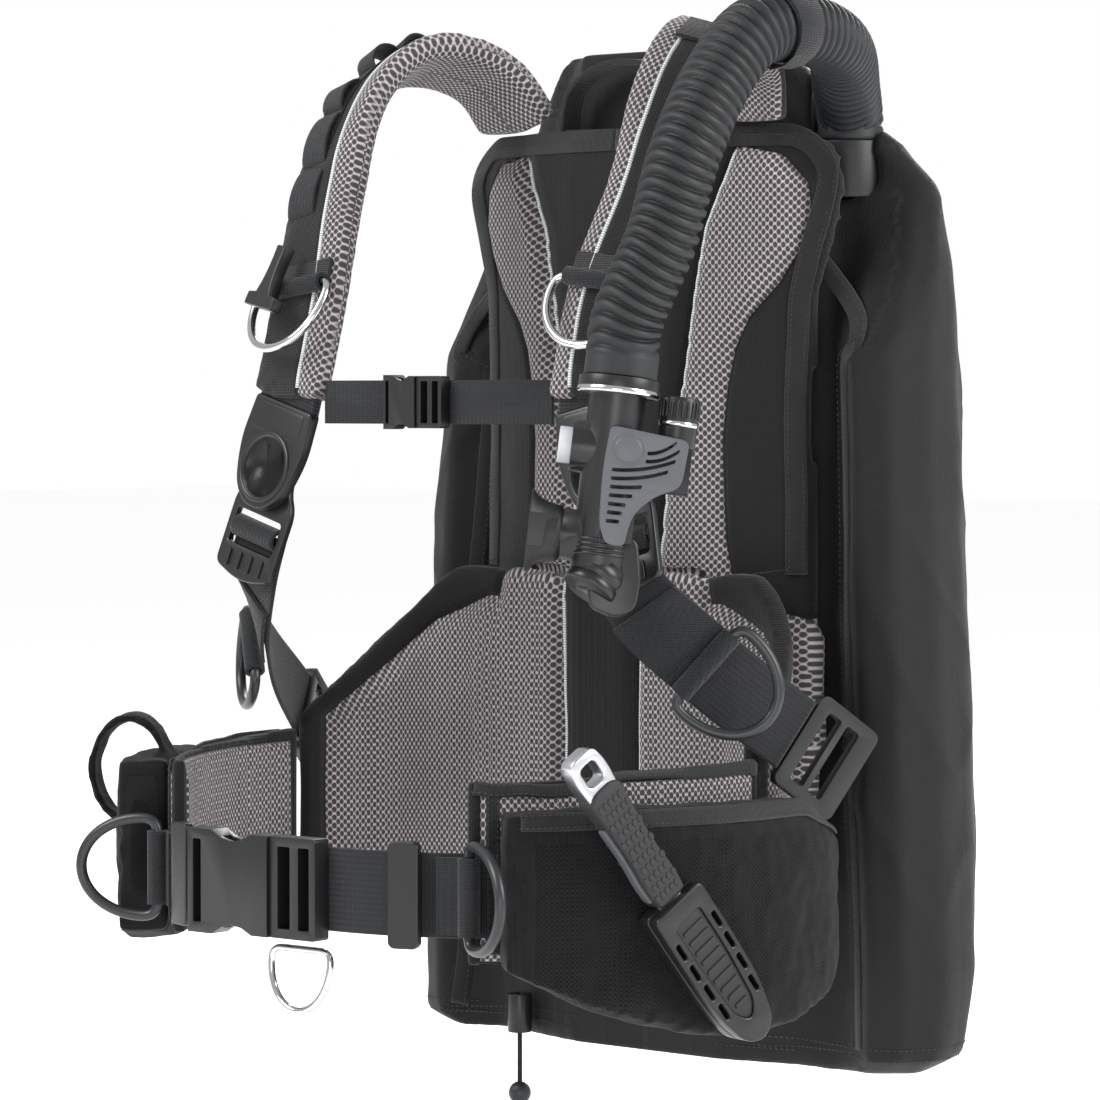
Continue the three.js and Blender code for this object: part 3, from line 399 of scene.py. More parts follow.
def circle_ring(centre, x, y, radius, sides=12):
    centre, x, y = np.array(centre), np.array(x) * radius, np.array(y) * radius
    turns = [2 * math.pi * k / sides for k in range(sides)]
    return [centre + x * math.cos(a) + y * math.sin(a) for a in turns]


def lathe(name, profile, place, finish, sides=32):
    """A closed turned shape: profile holds (radius, height) pairs, and place is (origin, x, y, z)."""
    origin, x, y, z = (np.array(part, float) for part in place)
    rings = [circle_ring(origin + z * h, x, y, max(r, 0.01), sides) for r, h in profile]
    return sweep(name, rings, finish)


pull_rings = [circle_ring(p, (1.0, 0, 0), (0, 1.0, 0), 1.5, 10) for p in pull_route]
pull_cord = sweep("dump_valve_cord", pull_rings, braid)
ball_profile = [(7 * math.sin(a), -7 * math.cos(a)) for a in np.linspace(0, math.pi, 17)]
flat_place = ((pull_x, pull_y, pull_ball), (1, 0, 0), (0, 1, 0), (0, 0, 1))
satin = Finish("satin_plastic", Roughness=0.36, Specular_IOR_Level=0.5)
satin_wear = satin.noise(18, 4)
satin.feed(Base_Color=satin.mix(satin_wear, (0.011, 0.012, 0.0135, 1), (0.026, 0.028, 0.031, 1)),
           Roughness=0.27 + satin_wear * 0.2)
satin.bump(satin.noise(0.55, 1), 0.018)
pull_knob = lathe("dump_valve_ball", ball_profile, flat_place, satin, 24)
pull_knob.parent = pull_cord
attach(pull_cord, "dump_pull")
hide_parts("dump_pull")
[c * MM for c in pull_route[0]]
[[c * MM for c in p] for p in pull_route]

# ---- Foam harness pad: back pad and lumbar pad ----
# One foam body behind the diver's back and round the loins, sewn in black nylon with raised columns
# of grey spacer mesh, pale piping at their inner edges, and a bound black border.
def merged(name, *nodes):
    """The CAD nodes as one welded mesh in a new object."""
    work = bmesh.new()
    for node in nodes:
        work.from_mesh(frame["nodes"][node].data)
    bmesh.ops.remove_doubles(work, verts=work.verts, dist=2e-5)
    mesh = bpy.data.meshes.new(name)
    work.to_mesh(mesh)
    work.free()
    return to_object(name, mesh)


def smoothed(piece):
    piece.data.polygons.foreach_set("use_smooth", [True] * len(piece.data.polygons))


def stands_for(piece, finish, slot, *nodes, body="pack"):
    """Gives a finished piece its one material and its body, and hides the CAD nodes that it stands for. slot
    is not used.
    """
    piece.data.materials.clear()
    piece.data.materials.append(finish.material)
    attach(piece, body)
    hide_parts(*nodes)
    return piece


def settled(piece):
    """The piece with its modifiers made part of its mesh."""
    depsgraph = bpy.context.evaluated_depsgraph_get()
    mesh = bpy.data.meshes.new_from_object(piece.evaluated_get(depsgraph))
    old, piece.data = piece.data, mesh
    piece.modifiers.clear()
    bpy.data.meshes.remove(old)
    return piece


def remeshed(piece, voxel, smooth=4):
    """One closed skin of even faces, voxel millimetres across."""
    remesh = piece.modifiers.new("voxels", "REMESH")
    remesh.mode, remesh.voxel_size, remesh.use_smooth_shade = "VOXEL", voxel * MM, True
    soft = piece.modifiers.new("soft", "SMOOTH")
    soft.factor, soft.iterations = 0.5, smooth
    return settled(piece)


def coordinates(piece):
    co = np.zeros(len(piece.data.vertices) * 3, np.float32)
    piece.data.vertices.foreach_get("co", co)
    return co.reshape(-1, 3).astype(float) / MM


def set_coordinates(piece, points):
    piece.data.vertices.foreach_set("co", (points * MM).astype(np.float32).ravel())
    piece.data.update()


def normals(piece):
    no = np.zeros(len(piece.data.vertices) * 3, np.float32)
    piece.data.vertices.foreach_get("normal", no)
    return no.reshape(-1, 3).astype(float)


def padding(piece, pressure=4.0, cap=6.0, frames=14):
    """Lets a foam or stuffed piece swell inside its fabric, by cap millimetres at most."""
    before = coordinates(piece)
    cloth = piece.modifiers.new("fabric", "CLOTH")
    cloth.settings.use_pressure = True
    cloth.settings.uniform_pressure_force = pressure
    cloth.settings.tension_stiffness = cloth.settings.compression_stiffness = 25
    cloth.settings.bending_stiffness = 2
    cloth.settings.effector_weights.gravity = 0
    cloth.collision_settings.use_collision = False
    scene = bpy.context.scene
    for step in range(1, frames + 1):
        scene.frame_set(step)
    settled(piece)
    scene.frame_set(1)
    move = coordinates(piece) - before
    far = np.linalg.norm(move, axis=1, keepdims=True)
    set_coordinates(piece, before + move * np.minimum(1, cap / np.maximum(far, 1e-6)))
    return piece


def subdivided(piece, levels=1):
    soft = piece.modifiers.new("fine", "SUBSURF")
    soft.levels = soft.render_levels = levels
    return settled(piece)


def measure(piece, name, values):
    attribute = piece.data.attributes.get(name) or piece.data.attributes.new(name, "FLOAT", "POINT")
    attribute.data.foreach_set("value", np.array(values, np.float32))


def lay_cloth(piece, points):
    """UVs in metres from one (u, v) pair in millimetres for each point."""
    layer = piece.data.uv_layers.get("UVMap") or piece.data.uv_layers.new(name="UVMap")
    corner = np.zeros(len(piece.data.loops), np.int32)
    piece.data.loops.foreach_get("vertex_index", corner)
    layer.data.foreach_set("uv", (np.array(points)[corner] * MM).astype(np.float32).ravel())


def smoothstep(x, low, high):
    t = np.clip((x - low) / (high - low), 0, 1)
    return t * t * (3 - 2 * t)


WAIST_HALF, WAIST_DEPTH, WAIST_HEIGHT = 174.0, 331.0, -178.0
girdle_x = [0, 0.34, 0.63, 0.82, 0.93, 1, 0.995, 0.905, 0.75, 0.58, 0.34, 0]
girdle_y = [0, 0, 0.006, 0.06, 0.175, 0.315, 0.49, 0.67, 0.835, 0.935, 0.988, 1]
GIRDLE_BACK = -54.23


def girdle(side):
    """Half of the line round the waist, from the middle of the back to the front buckle."""
    reach = -WAIST_DEPTH - GIRDLE_BACK
    points = [(side * x * WAIST_HALF, GIRDLE_BACK + y * reach, WAIST_HEIGHT)
              for x, y in zip(girdle_x, girdle_y)]
    line = Route(points)
    outward = []
    for i in range(len(points)):
        d = line.along(i / (len(points) - 1))
        outward.append((-side * d[1], side * d[0], 0))
    return Route(points, outward)


hips = {-1: girdle(-1), 1: girdle(1)}
hip_table = {}
for side, route in hips.items():
    ts = np.linspace(0, 1, 500)
    line = np.array([route.at(t) for t in ts])
    hip_table[side] = (line[:, :2], run_lengths(line))


def nearest(points, line, chunk=4000):
    """For each point, which point of the line is nearest."""
    parts = np.array_split(np.arange(len(points)), max(1, len(points) // chunk))
    return np.concatenate([((points[c, None] - line[None]) ** 2).sum(2).argmin(axis=1) for c in parts])


def round_the_waist(points):
    """How far each point is round the waist from the middle of the back, to the left of the diver."""
    out = np.zeros(len(points))
    for side in (-1, 1):
        line, far = hip_table[side]
        mine = np.where(points[:, 0] * side >= 0)[0]
        out[mine] = side * far[nearest(points[mine, :2], line)]
    return out


column_z = [-215, -112, -34, 0, 43, 108, 152, 190, 223, 240]
column_inner = [29, 29, 30, 33, 37, 49, 55, 62, 76, 82]
column_outer_z = [-130, -100, -82, -62, -34, 7, 64, 95, 119, 136, 157, 177, 196, 215, 232, 240]
column_outer = [150, 138, 118, 98, 82, 74, 72, 75, 80, 88, 106, 118, 124, 122, 108, 70]
pad = merged("harness_pad", "back_pad", "lumbar_pad")
remeshed(pad, 3.6, 6)
subdivided(pad)
p, n = coordinates(pad), normals(pad)
low_part = smoothstep(-p[:, 2], 10, 45)
u = p[:, 0] * (1 - low_part) + round_the_waist(p) * low_part
z = p[:, 2]
inner = np.interp(z, column_z, column_inner)
outer = np.interp(z, column_outer_z, column_outer)
lumbar_top = np.interp(np.abs(u), [0, 45, 90, 130, 165, 200, 230], [-20, -18, -16, -32, -58, -84, -104])
rim = np.minimum(lumbar_top - z, 223 - np.abs(u))
lumbar = np.minimum(rim - 15, z + 198)
column = np.minimum(outer - np.abs(u), 238 - z)
grey = np.minimum(np.abs(u) - inner, np.maximum(column, lumbar))
front = smoothstep(-n[:, 1] + 0.6 * np.abs(n[:, 0]) * (z < -20), 0.1, 0.6)
swell = smoothstep(np.maximum(column, np.minimum(lumbar, 12)), -2, 16) * smoothstep(np.abs(u) - inner, -1, 9)
centre = smoothstep(inner - np.abs(u), 0, 14) * 2.5
piped = np.exp(-((np.abs(u) - inner) / 2.2) ** 2)
tucked = np.exp(-(np.minimum(np.maximum(column, lumbar), 60) / 2.4) ** 2) * (np.abs(u) > inner)
upright = np.exp(-((np.abs(u) - 88 - 0.12 * (z + 205)) / 7.0) ** 2) * smoothstep(-z, 60, 100)
rise = front * (8.0 * swell + centre - 3.0 * piped - 2.4 * tucked - 1.6 * upright * smoothstep(lumbar, 5, 20))
weave = np.array([noise.noise(Vector(q) * 0.03) for q in p])
set_coordinates(pad, p + n * (rise + front * weave * 1.1)[:, None])
lay_cloth(pad, np.stack([u, z], axis=1))
measure(pad, "grey", grey)
measure(pad, "border", np.where(z > -20, np.interp(z, [-60, 150, 196, 216, 238, 250],
                                                   [124, 124, 134, 143, 134, 109]) - np.abs(u), rim))


def nylon_relief(across, along, pitch):
    """Relief of a plain-woven ballistic cloth, from 0 to 1, with its threads pitch millimetres apart."""
    step = math.pi / pitch
    return ((across * step).math("SINE") * (along * step).math("SINE")).math("ABSOLUTE")


def mesh_holes(across, along, pitch_u=4.0, pitch_v=4.9, wide=1.15, tall=1.75):
    """The staggered oval holes of spacer mesh: 0 in the middle of a hole and 1 on the yarn."""
    found = None
    for shift in (0.0, 0.5):
        du = ((across / pitch_u + shift).math("FRACT") - 0.5) * (pitch_u / wide)
        dv = ((along / pitch_v + shift).math("FRACT") - 0.5) * (pitch_v / tall)
        d = du * du + dv * dv
        found = d if found is None else found.math("MINIMUM", d)
    return found.ramp(0.5, 1.35)


NYLON_DARK, NYLON_LIGHT = (0.003, 0.0031, 0.0035, 1), (0.0125, 0.0128, 0.014, 1)
MESH_YARN, MESH_SHADE = (0.47, 0.43, 0.445, 1), (0.33, 0.30, 0.31, 1)
MESH_HOLE = (0.045, 0.04, 0.042, 1)


def spacer_cloth(name, pitch, relief, soft, black=(NYLON_DARK, NYLON_LIGHT), border=None, **fixed):
    """Grey spacer mesh where the attribute grey is above 0, and black ballistic nylon elsewhere."""
    made = Finish(name, Specular_IOR_Level=0.22, Roughness=0.85, Sheen_Weight=0.12, **fixed)
    u, v, _ = made.place("UV")
    yarn, threads = mesh_holes(u, v), nylon_relief(u, v, pitch)
    is_grey = made.attribute("grey").ramp(-soft, soft)
    weave = threads * (0.4 + made.attribute(border).ramp(13.4, 14.2) * 0.6) if border else threads
    shade = made.mix(made.noise(28, 3), MESH_SHADE, MESH_YARN)
    made.feed(Base_Color=made.mix(is_grey, made.mix(weave, *black), made.mix(yarn, MESH_HOLE, shade)))
    made.bump(is_grey * yarn + (1 - is_grey) * threads * relief, 0.7)
    return made


pad_finish = spacer_cloth("pad_cloth", 1.35, 0.35, 0.4, border="border", Sheen_Roughness=0.5)
stands_for(pad, pad_finish, "spacer_mesh", "back_pad", "lumbar_pad")


def skin_of(piece):
    """A search tree of a finished skin, in millimetres."""
    mesh = piece.data
    faces = [tuple(face.vertices) for face in mesh.polygons]
    return BVHTree.FromPolygons([v.co / MM for v in mesh.vertices], faces)


def on_skin(tree, points, toward, lift=0.0):
    """Points dropped on the skin from outside, against toward, with the skin's normal at each."""
    out = []
    for q in points:
        d = Vector(toward(q) if callable(toward) else toward).normalized()
        hit = tree.ray_cast(Vector(q) + d * 60, -d, 120)
        if hit[0] is None:
            hit = tree.find_nearest(Vector(q))
        out.append((np.array(hit[0]) + np.array(hit[1]) * lift, np.array(hit[1])))
    return out


def frames_along(places):
    """(point, across, up) for each (point, normal) pair on a line, square to the line."""
    points, out = [np.array(place[0]) for place in places], []
    for i, (q, up) in enumerate(places):
        d = points[min(i + 1, len(points) - 1)] - points[max(i - 1, 0)]
        d = d / np.linalg.norm(d)
        up = up - d * up.dot(d)
        up /= np.linalg.norm(up)
        out.append((q, np.cross(d, up), up))
    return out


def cord_along(name, places, radius, finish):
    """A thin round cord through (point, normal) pairs."""
    return sweep(name, [circle_ring(q, side, up, radius, 8) for q, side, up in frames_along(places)], finish)


def joined(name, pieces):
    """Several pieces as one, with every face's material kept."""
    work, materials = bmesh.new(), []
    for piece in pieces:
        start = len(work.faces)
        work.from_mesh(piece.data)
        work.faces.ensure_lookup_table()
        shift = []
        for material in piece.data.materials:
            if material not in materials:
                materials.append(material)
            shift.append(materials.index(material))
        for face in work.faces[start:]:
            face.material_index = shift[min(face.material_index, len(shift) - 1)]
    mesh = bpy.data.meshes.new(name)
    work.to_mesh(mesh)
    work.free()
    for material in materials:
        mesh.materials.append(material)
    for piece in pieces:
        bpy.data.objects.remove(piece)
    return to_object(name, mesh)


silver = Finish("piping_tape", Roughness=0.45)
u, v, _ = silver.place("UV")
twist = (v * 4.2).math("SINE")
silver.feed(Base_Color=silver.mix(twist.ramp(-0.6, 0.8), (0.36, 0.38, 0.38, 1), (0.72, 0.75, 0.75, 1)))
silver.bump(twist, 0.12)
PIPE_RADIUS = 1.25
pad_skin = skin_of(pad)
pipes = []
for side in (-1, 1):
    line = [(side * np.interp(z, column_z, column_inner), -60, z) for z in np.linspace(236, -196, 110)]
    pipes.append(cord_along(f"pipe_{side}", on_skin(pad_skin, line, (0, -1, 0), 0.7), PIPE_RADIUS, silver))
pad_piping = joined("harness_pad_piping", pipes)
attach(pad_piping, "pack")


# ---- Stitching and binding tape ----
# Sewing thread shows as rows of short raised stitches, laid along any line by one tree of nodes.
# Binding is a narrow ribbed tape folded over a raw edge and stitched down.
def stitch_tree():
    tree = bpy.data.node_groups.new("stitching", "GeometryNodeTree")
    tree.interface.new_socket("Line", in_out="INPUT", socket_type="NodeSocketGeometry")
    for name in ("Pitch", "Length", "Thickness"):
        tree.interface.new_socket(name, in_out="INPUT", socket_type="NodeSocketFloat")
    tree.interface.new_socket("Thread", in_out="INPUT", socket_type="NodeSocketMaterial")
    tree.interface.new_socket("Stitches", in_out="OUTPUT", socket_type="NodeSocketGeometry")
    kinds = {"given": "NodeGroupInput", "result": "NodeGroupOutput", "curve": "GeometryNodeMeshToCurve",
             "even": "GeometryNodeResampleCurve", "bead": "GeometryNodeMeshUVSphere",
             "put": "GeometryNodeInstanceOnPoints", "along": "GeometryNodeInputTangent",
             "turn": "FunctionNodeAlignRotationToVector", "size": "ShaderNodeCombineXYZ",
             "real": "GeometryNodeRealizeInstances", "paint": "GeometryNodeSetMaterial"}
    made = {key: tree.nodes.new(kind) for key, kind in kinds.items()}
    made["even"].mode, made["turn"].axis = "LENGTH", "Z"
    made["bead"].inputs["Segments"].default_value, made["bead"].inputs["Rings"].default_value = 6, 4
    made["bead"].inputs["Radius"].default_value = 1.0
    for source, out, target, into in (
        ("given", "Line", "curve", "Mesh"), ("curve", "Curve", "even", "Curve"),
        ("given", "Pitch", "even", "Length"),
        ("even", "Curve", "put", "Points"), ("bead", "Mesh", "put", "Instance"),
        ("along", "Tangent", "turn", "Vector"), ("turn", "Rotation", "put", "Rotation"),
        ("given", "Thickness", "size", "X"), ("given", "Thickness", "size", "Y"),
        ("given", "Length", "size", "Z"),
        ("size", "Vector", "put", "Scale"), ("put", "Instances", "real", "Geometry"),
        ("real", "Geometry", "paint", "Geometry"), ("given", "Thread", "paint", "Material"),
        ("paint", "Geometry", "result", "Stitches"),
    ):
        tree.links.new(made[source].outputs[out], made[target].inputs[into])
    return tree


STITCHING = stitch_tree()
thread = Finish("sewing_thread", Roughness=0.7)
thread.feed(Base_Color=thread.mix(thread.noise(3), (0.014, 0.0145, 0.016, 1), (0.04, 0.041, 0.044, 1)))


STITCH_LONG, STITCH_THICK = 1.15, 0.33


def stitches(name, lines, pitch=3.2):
    """Rows of stitches along several lines of points in millimetres."""
    points = [tuple(np.array(q) * MM) for line in lines for q in line]
    edges, start = [], 0
    for line in lines:
        edges += [(start + i, start + i + 1) for i in range(len(line) - 1)]
        start += len(line)
    mesh = bpy.data.meshes.new(name)
    mesh.from_pydata(points, edges, [])
    piece = to_object(name, mesh)
    sewing = piece.modifiers.new("sewing", "NODES")
    sewing.node_group = STITCHING
    given = {"Pitch": pitch * MM, "Length": STITCH_LONG * MM, "Thickness": STITCH_THICK * MM,
             "Thread": thread.material}
    for item in STITCHING.interface.items_tree:
        if item.in_out == "INPUT" and item.name in given:
            sewing[item.identifier] = given[item.name]
    settled(piece)
    smoothed(piece)
    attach(piece, "pack")


binding = Finish("binding_tape", Specular_IOR_Level=0.22, Roughness=0.8, Sheen_Weight=0.15)
u, v, _ = binding.place("UV")
ribs = (v * (math.pi / 0.9)).math("SINE").math("ABSOLUTE")
binding.feed(Base_Color=binding.mix(ribs * (0.4 + binding.noise(16) * 0.8), (0.0045, 0.0047, 0.005, 1),
                                    (0.017, 0.0175, 0.019, 1)))
binding.bump(ribs, 0.3)


def tape_along(name, places, width, thick, finish):
    """A flat tape on a surface, through (point, normal) pairs on its middle line."""
    half, edge = width / 2, min(width * 0.12, thick)
    section = [(-half, -0.3), (half, -0.3), (half, thick * 0.4), (half - edge, thick),
               (0, thick * 1.15), (-half + edge, thick), (-half, thick * 0.4)]
    rings = [[q + side * a + up * b for a, b in section] for q, side, up in frames_along(places)]
    return sweep(name, rings, finish, uv=[a for a, _ in section])


def evened(places, rounds=3):
    """The same places with their points and normals smoothed along the line."""
    q, up = np.array([a for a, _ in places]), np.array([b for _, b in places])
    for _ in range(rounds):
        q[1:-1] = (q[:-2] + 2 * q[1:-1] + q[2:]) / 4
        up[1:-1] = (up[:-2] + 2 * up[1:-1] + up[2:]) / 4
    return [(a, b / np.linalg.norm(b)) for a, b in zip(q, up)]


def pad_edge(z):
    """Half the harness pad's width at a height."""
    return np.interp(z, [-60, 80, 150, 180, 196, 216, 226, 238, 250],
                     [124, 122, 124, 132, 137, 142, 141, 132, 109])


edge_lines, edge_rows = [], []
for side in (-1, 1):
    upright = [(side * (pad_edge(z) - 6.5), -60, z) for z in np.linspace(-14, 238, 80)]
    top = [(side * x, -60, 243.5) for x in np.linspace(118, 0, 40)]
    places = evened(on_skin(pad_skin, upright + top, (0, -1, 0), 0.2), 6)
    edge_lines.append(tape_along(f"edge_{side}", places, 13, 1.1, binding))
    for shift in (-4.6, 4.4):
        inward = [(q[0] * (1 + shift / 140), q[1] - 40, q[2]) for q, _ in places]
        edge_rows.append([q for q, _ in on_skin(pad_skin, inward, (0, -1, 0), 1.5)])
pad_binding = joined("harness_pad_binding", edge_lines)
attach(pad_binding, "pack")
stitches("harness_pad_stitching", edge_rows)

# ---- Air cell ----
# The bladder's cover of fine black nylon: two tall lobes that wrap round the tank, joined across the back,
# with a bound seam up each lobe's front, a hollow behind each shoulder and a double-stitched hem.
cell_half = [(0, -21.4), (58, -21.4), (100, -11), (128, 0), (142, -10), (158, -24), (177, -13), (187, 14),
             (184, 47), (170, 72), (146, 90), (119, 84), (97, 52), (72, 12), (52, -5), (0, -6)]
cell_line = np.array([Route([(x, y, 0) for x, y in cell_half]).at(t)[:2] for t in np.linspace(0, 1, 240)])
cell = remeshed(merged("air_cell_cover", "air_cell"), 4.2, 7)
p, n = coordinates(cell), normals(cell)
around = run_lengths(cell_line)[nearest(np.stack([np.abs(p[:, 0]), p[:, 1]], axis=1), cell_line)]
around = np.where(p[:, 0] < 0, 1400 - around, around)
folds = []
for q in p:
    long_folds = noise.noise(Vector((q[0] * 0.012, q[1] * 0.014, q[2] * 0.0045 + 3)))
    creases = 1 - abs(noise.noise(Vector((q[0] * 0.02 + 9, q[1] * 0.02, q[2] * 0.011))))
    folds.append(3.4 * long_folds + 1.6 * creases ** 6 + 0.5 * noise.noise(Vector(q) * 0.05))
room = smoothstep(np.abs(p[:, 0]), 95, 130)
set_coordinates(cell, p + n * (np.array(folds) * room - 1.2)[:, None])
lay_cloth(cell, np.stack([around, p[:, 2]], axis=1))
cell_finish = Finish("air_cell_nylon", Specular_IOR_Level=0.22, Roughness=0.62, Sheen_Weight=0.1,
                     Sheen_Roughness=0.4)
u, v, _ = cell_finish.place("UV")
threads, cloud = nylon_relief(u, v, 0.9), cell_finish.noise(90, 5)
cell_shade = cell_finish.mix(threads * 0.35 + cloud * 0.65, (0.0045, 0.0048, 0.0053, 1),
                             (0.0115, 0.012, 0.013, 1))
cell_finish.feed(Base_Color=cell_shade, Roughness=0.56 + cloud * 0.14)
cell_finish.bump(threads * 0.4 + cell_finish.noise(42, 5) * 2.4, 0.32)
stands_for(cell, cell_finish, "shell_fabric", "air_cell")
cell_skin = skin_of(cell)
seams, rows = [], []
for side in (-1, 1):
    heights = np.linspace(-292, 205, 110)
    widths = np.interp(heights, [-300, -120, 20, 115, 165, 216], [166, 160, 154, 150, 146, 140])
    ridge = [(side * width, -60, z) for width, z in zip(widths, heights)]
    places = evened(on_skin(cell_skin, ridge, (side * 0.25, -1, 0), 0.1), 8)
    seams.append(tape_along(f"ridge_{side}", places, 11, 1.0, binding))
    for shift in (-4, 4):
        rows.append([q + np.array([side * shift, 0, 0]) + up * 1.3 for q, up in places])
    turn = np.linspace(-0.9, 2.6, 90)
    for height in (-297, -290):
        hem = [(side * (118 + 100 * math.sin(a)), 30 - 100 * math.cos(a), height) for a in turn]
        outside = on_skin(cell_skin, hem, lambda q: Vector((q[0] - side * 118, q[1] - 30, 0)), 0.35)
        rows.append([q for q, _ in outside])
cell_seams = joined("air_cell_binding", seams)
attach(cell_seams, "pack")
stitches("air_cell_stitching", rows, pitch=3.6)


# ---- Shoulder straps ----
# Curved foam pads: ballistic nylon outside, spacer mesh on the neck side and underneath, pale piping between.
PACK_TOP, SHOULDER_TOP, CHEST_HALF, CHEST_DEPTH, CHEST_HEIGHT = 250.0, 293.0, 124.0, 198.0, 88.0


def shoulder_route(side):
    s, d = side, CHEST_DEPTH
    return Route(
        [(s * 84, -36, PACK_TOP + 1.6), (s * 97, -56, SHOULDER_TOP - 9), (s * 114, -98, SHOULDER_TOP),
         (s * CHEST_HALF, -0.7 * d, SHOULDER_TOP - 27), (s * CHEST_HALF, -0.85 * d, 205),
         (s * (CHEST_HALF - 9), -0.97 * d, 146), (s * (CHEST_HALF - 8), -d - 10, CHEST_HEIGHT)],
        [(s * 0.05, 0.9, 0.55), (s * 0.2, 0.35, 0.92), (s * 0.35, -0.05, 0.93), (s * 0.35, -0.65, 0.68),
         (s * 0.16, -0.93, 0.3), (s * 0.1, -0.98, 0.16), (s * 0.1, -0.98, 0.14)])


shoulders = {side: shoulder_route(side) for side in (-1, 1)}
SIDES = ((-1, "right"), (1, "left"))


def route_measures(route, points):
    """For each point: how far across the route, how far out from it, and how far along."""
    frames = [route.frame(t) for t in np.linspace(0, 1, 260)]
    line = np.array([f[0] for f in frames])
    far, near = run_lengths(line), nearest(points, line)
    off = points - line[near]
    x, y, z = (np.array([f[k] for f in frames])[near] for k in (1, 2, 3))
    return (off * x).sum(1), (off * z).sum(1), far[near] - (off * y).sum(1)


strap_black = (0.003, 0.0031, 0.0035, 1), (0.014, 0.0143, 0.0155, 1)
strap_finish = spacer_cloth("shoulder_cloth", 1.5, 0.5, 0.35, strap_black, Sheen_Roughness=0.5)
# the piping runs this far from the middle of the strap, on its neck side
PIPE_AT = 13.5
for side, word in SIDES:
    strap = padding(remeshed(merged(f"shoulder_strap_{word}", f"shoulder_pad_{word}"), 3.0, 5), 5, 2.5, 10)
    subdivided(strap)
    p = coordinates(strap)
    across, out, far = route_measures(shoulders[side], p)
    neck = across * np.sign(shoulders[side].frame(0.7)[1][0] * -side)
    grey = np.maximum(neck - PIPE_AT, -out - 1.0)
    groove = np.exp(-((neck - PIPE_AT) / 1.8) ** 2) * (out > 0)
    set_coordinates(strap, p - normals(strap) * (1.2 * groove)[:, None])
    wrap = np.where(out < 0, np.sign(across) * (60 - np.abs(across)), across)
    lay_cloth(strap, np.stack([wrap, far], axis=1))
    measure(strap, "grey", grey)
    stands_for(strap, strap_finish, "shell_fabric", f"shoulder_pad_{word}")
    skin, line = skin_of(strap), []
    for t in np.linspace(0.02, 0.985, 120):
        q, x, y, z = shoulders[side].frame(t, 12)
        toward = x * np.sign(x[0] * -side)
        line.append((q + toward * PIPE_AT, z))
    places = [on_skin(skin, [q], z, 0.5)[0] for q, z in line]
    piping = cord_along(f"shoulder_piping_{word}", evened(places, 3), PIPE_RADIUS, silver)
    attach(piping, "pack")

# ---- Webbing ----
# Flat woven nylon straps with cross ribs: the waist belt, the lower shoulder straps and their tails,
# the chest strap, the tank band, the hose retainer, the carry handle and the tabs that hold the rings.
webbing = Finish("webbing", Specular_IOR_Level=0.22, Roughness=0.75, Sheen_Weight=0.15, Sheen_Roughness=0.4)
u, v, _ = webbing.place("UV")
wave = (u * (math.pi / 3.1)).math("SINE").math("ABSOLUTE")
ribs = ((v + wave * 0.35) * (math.pi / 1.25)).math("SINE").math("ABSOLUTE")
webbing.feed(Base_Color=webbing.mix(ribs * (0.35 + wave * 0.25 + webbing.noise(22) * 0.5),
                                    (0.0055, 0.0058, 0.0064, 1), (0.026, 0.0275, 0.03, 1)))
webbing.bump(ribs * (0.6 + wave * 0.4), 0.42)


def woven(name, places, width, thick, body="pack", replaces=()):
    """A strap with rounded selvedges through (middle, across, outward) triples."""
    half, t = width / 2, thick / 2
    under = [(-half, 0), (-half + 0.5, -t), (-half + 2.4, -t), (0, -t * 0.92), (half - 2.4, -t),
             (half - 0.5, -t)]
    section = under + [(-a, -b) for a, b in under]
    rings = [[np.array(q) + np.array(x) * a + np.array(z) * b for a, b in section] for q, x, z in places]
    piece = sweep(name, rings, webbing, uv=[a for a, _ in section])
    if body:
        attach(piece, body)
    if replaces:
        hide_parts(*replaces)
    return piece


WEB, BELT_LIFT = 2.2, 5.5


def belt_run(side, count, t0, t1, lift):
    """(middle, across, outward) triples of a level strap round the hip."""
    run = []
    for t in hips[side].even(count, t0, t1)[0]:
        q, _, _, z = hips[side].frame(t, lift)
        run.append((np.array([q[0], q[1], WAIST_HEIGHT]), np.array([0.0, 0, 1]), z))
    return run


for side, word in SIDES:
    front_end = hips[side].find(0, side * 0.4, 0.7, 1)
    belt = belt_run(side, 90, 0.55, front_end, BELT_LIFT)
    woven(f"belt_webbing_{word}", belt, 46, WEB, replaces=[f"waist_belt_{word}"])
    # the sewn layer that adjusts the belt, folded back behind the buckle
    doubled_end = hips[side].find(0, side * (84 if side > 0 else 62), 0.7, 1)
    woven(f"belt_return_{word}", belt_run(side, 40, 0.87, doubled_end, BELT_LIFT + WEB + 0.25), 45, WEB)

SWIVEL_RISE = 40.0


def buckle_place(side):
    """The origin and axes of a shoulder buckle, whose swivel turns round z."""
    end = shoulders[side].frame(1)[0]
    y = np.array([-side * 0.27, 0.16, 0.95])
    y /= np.linalg.norm(y)
    z = np.array([side * 0.12, -0.98, 0.0])
    z -= y * z.dot(y)
    z /= np.linalg.norm(z)
    return end + y * (-SWIVEL_RISE - 2) - z * 3, np.cross(y, z), y, z


buckles = {side: buckle_place(side) for side in (-1, 1)}


def local(place, x, y, z):
    """A point of a (origin, x, y, z) place, in the vest's own frame."""
    origin, ax, ay, az = place
    return origin + ax * x + ay * y + az * z


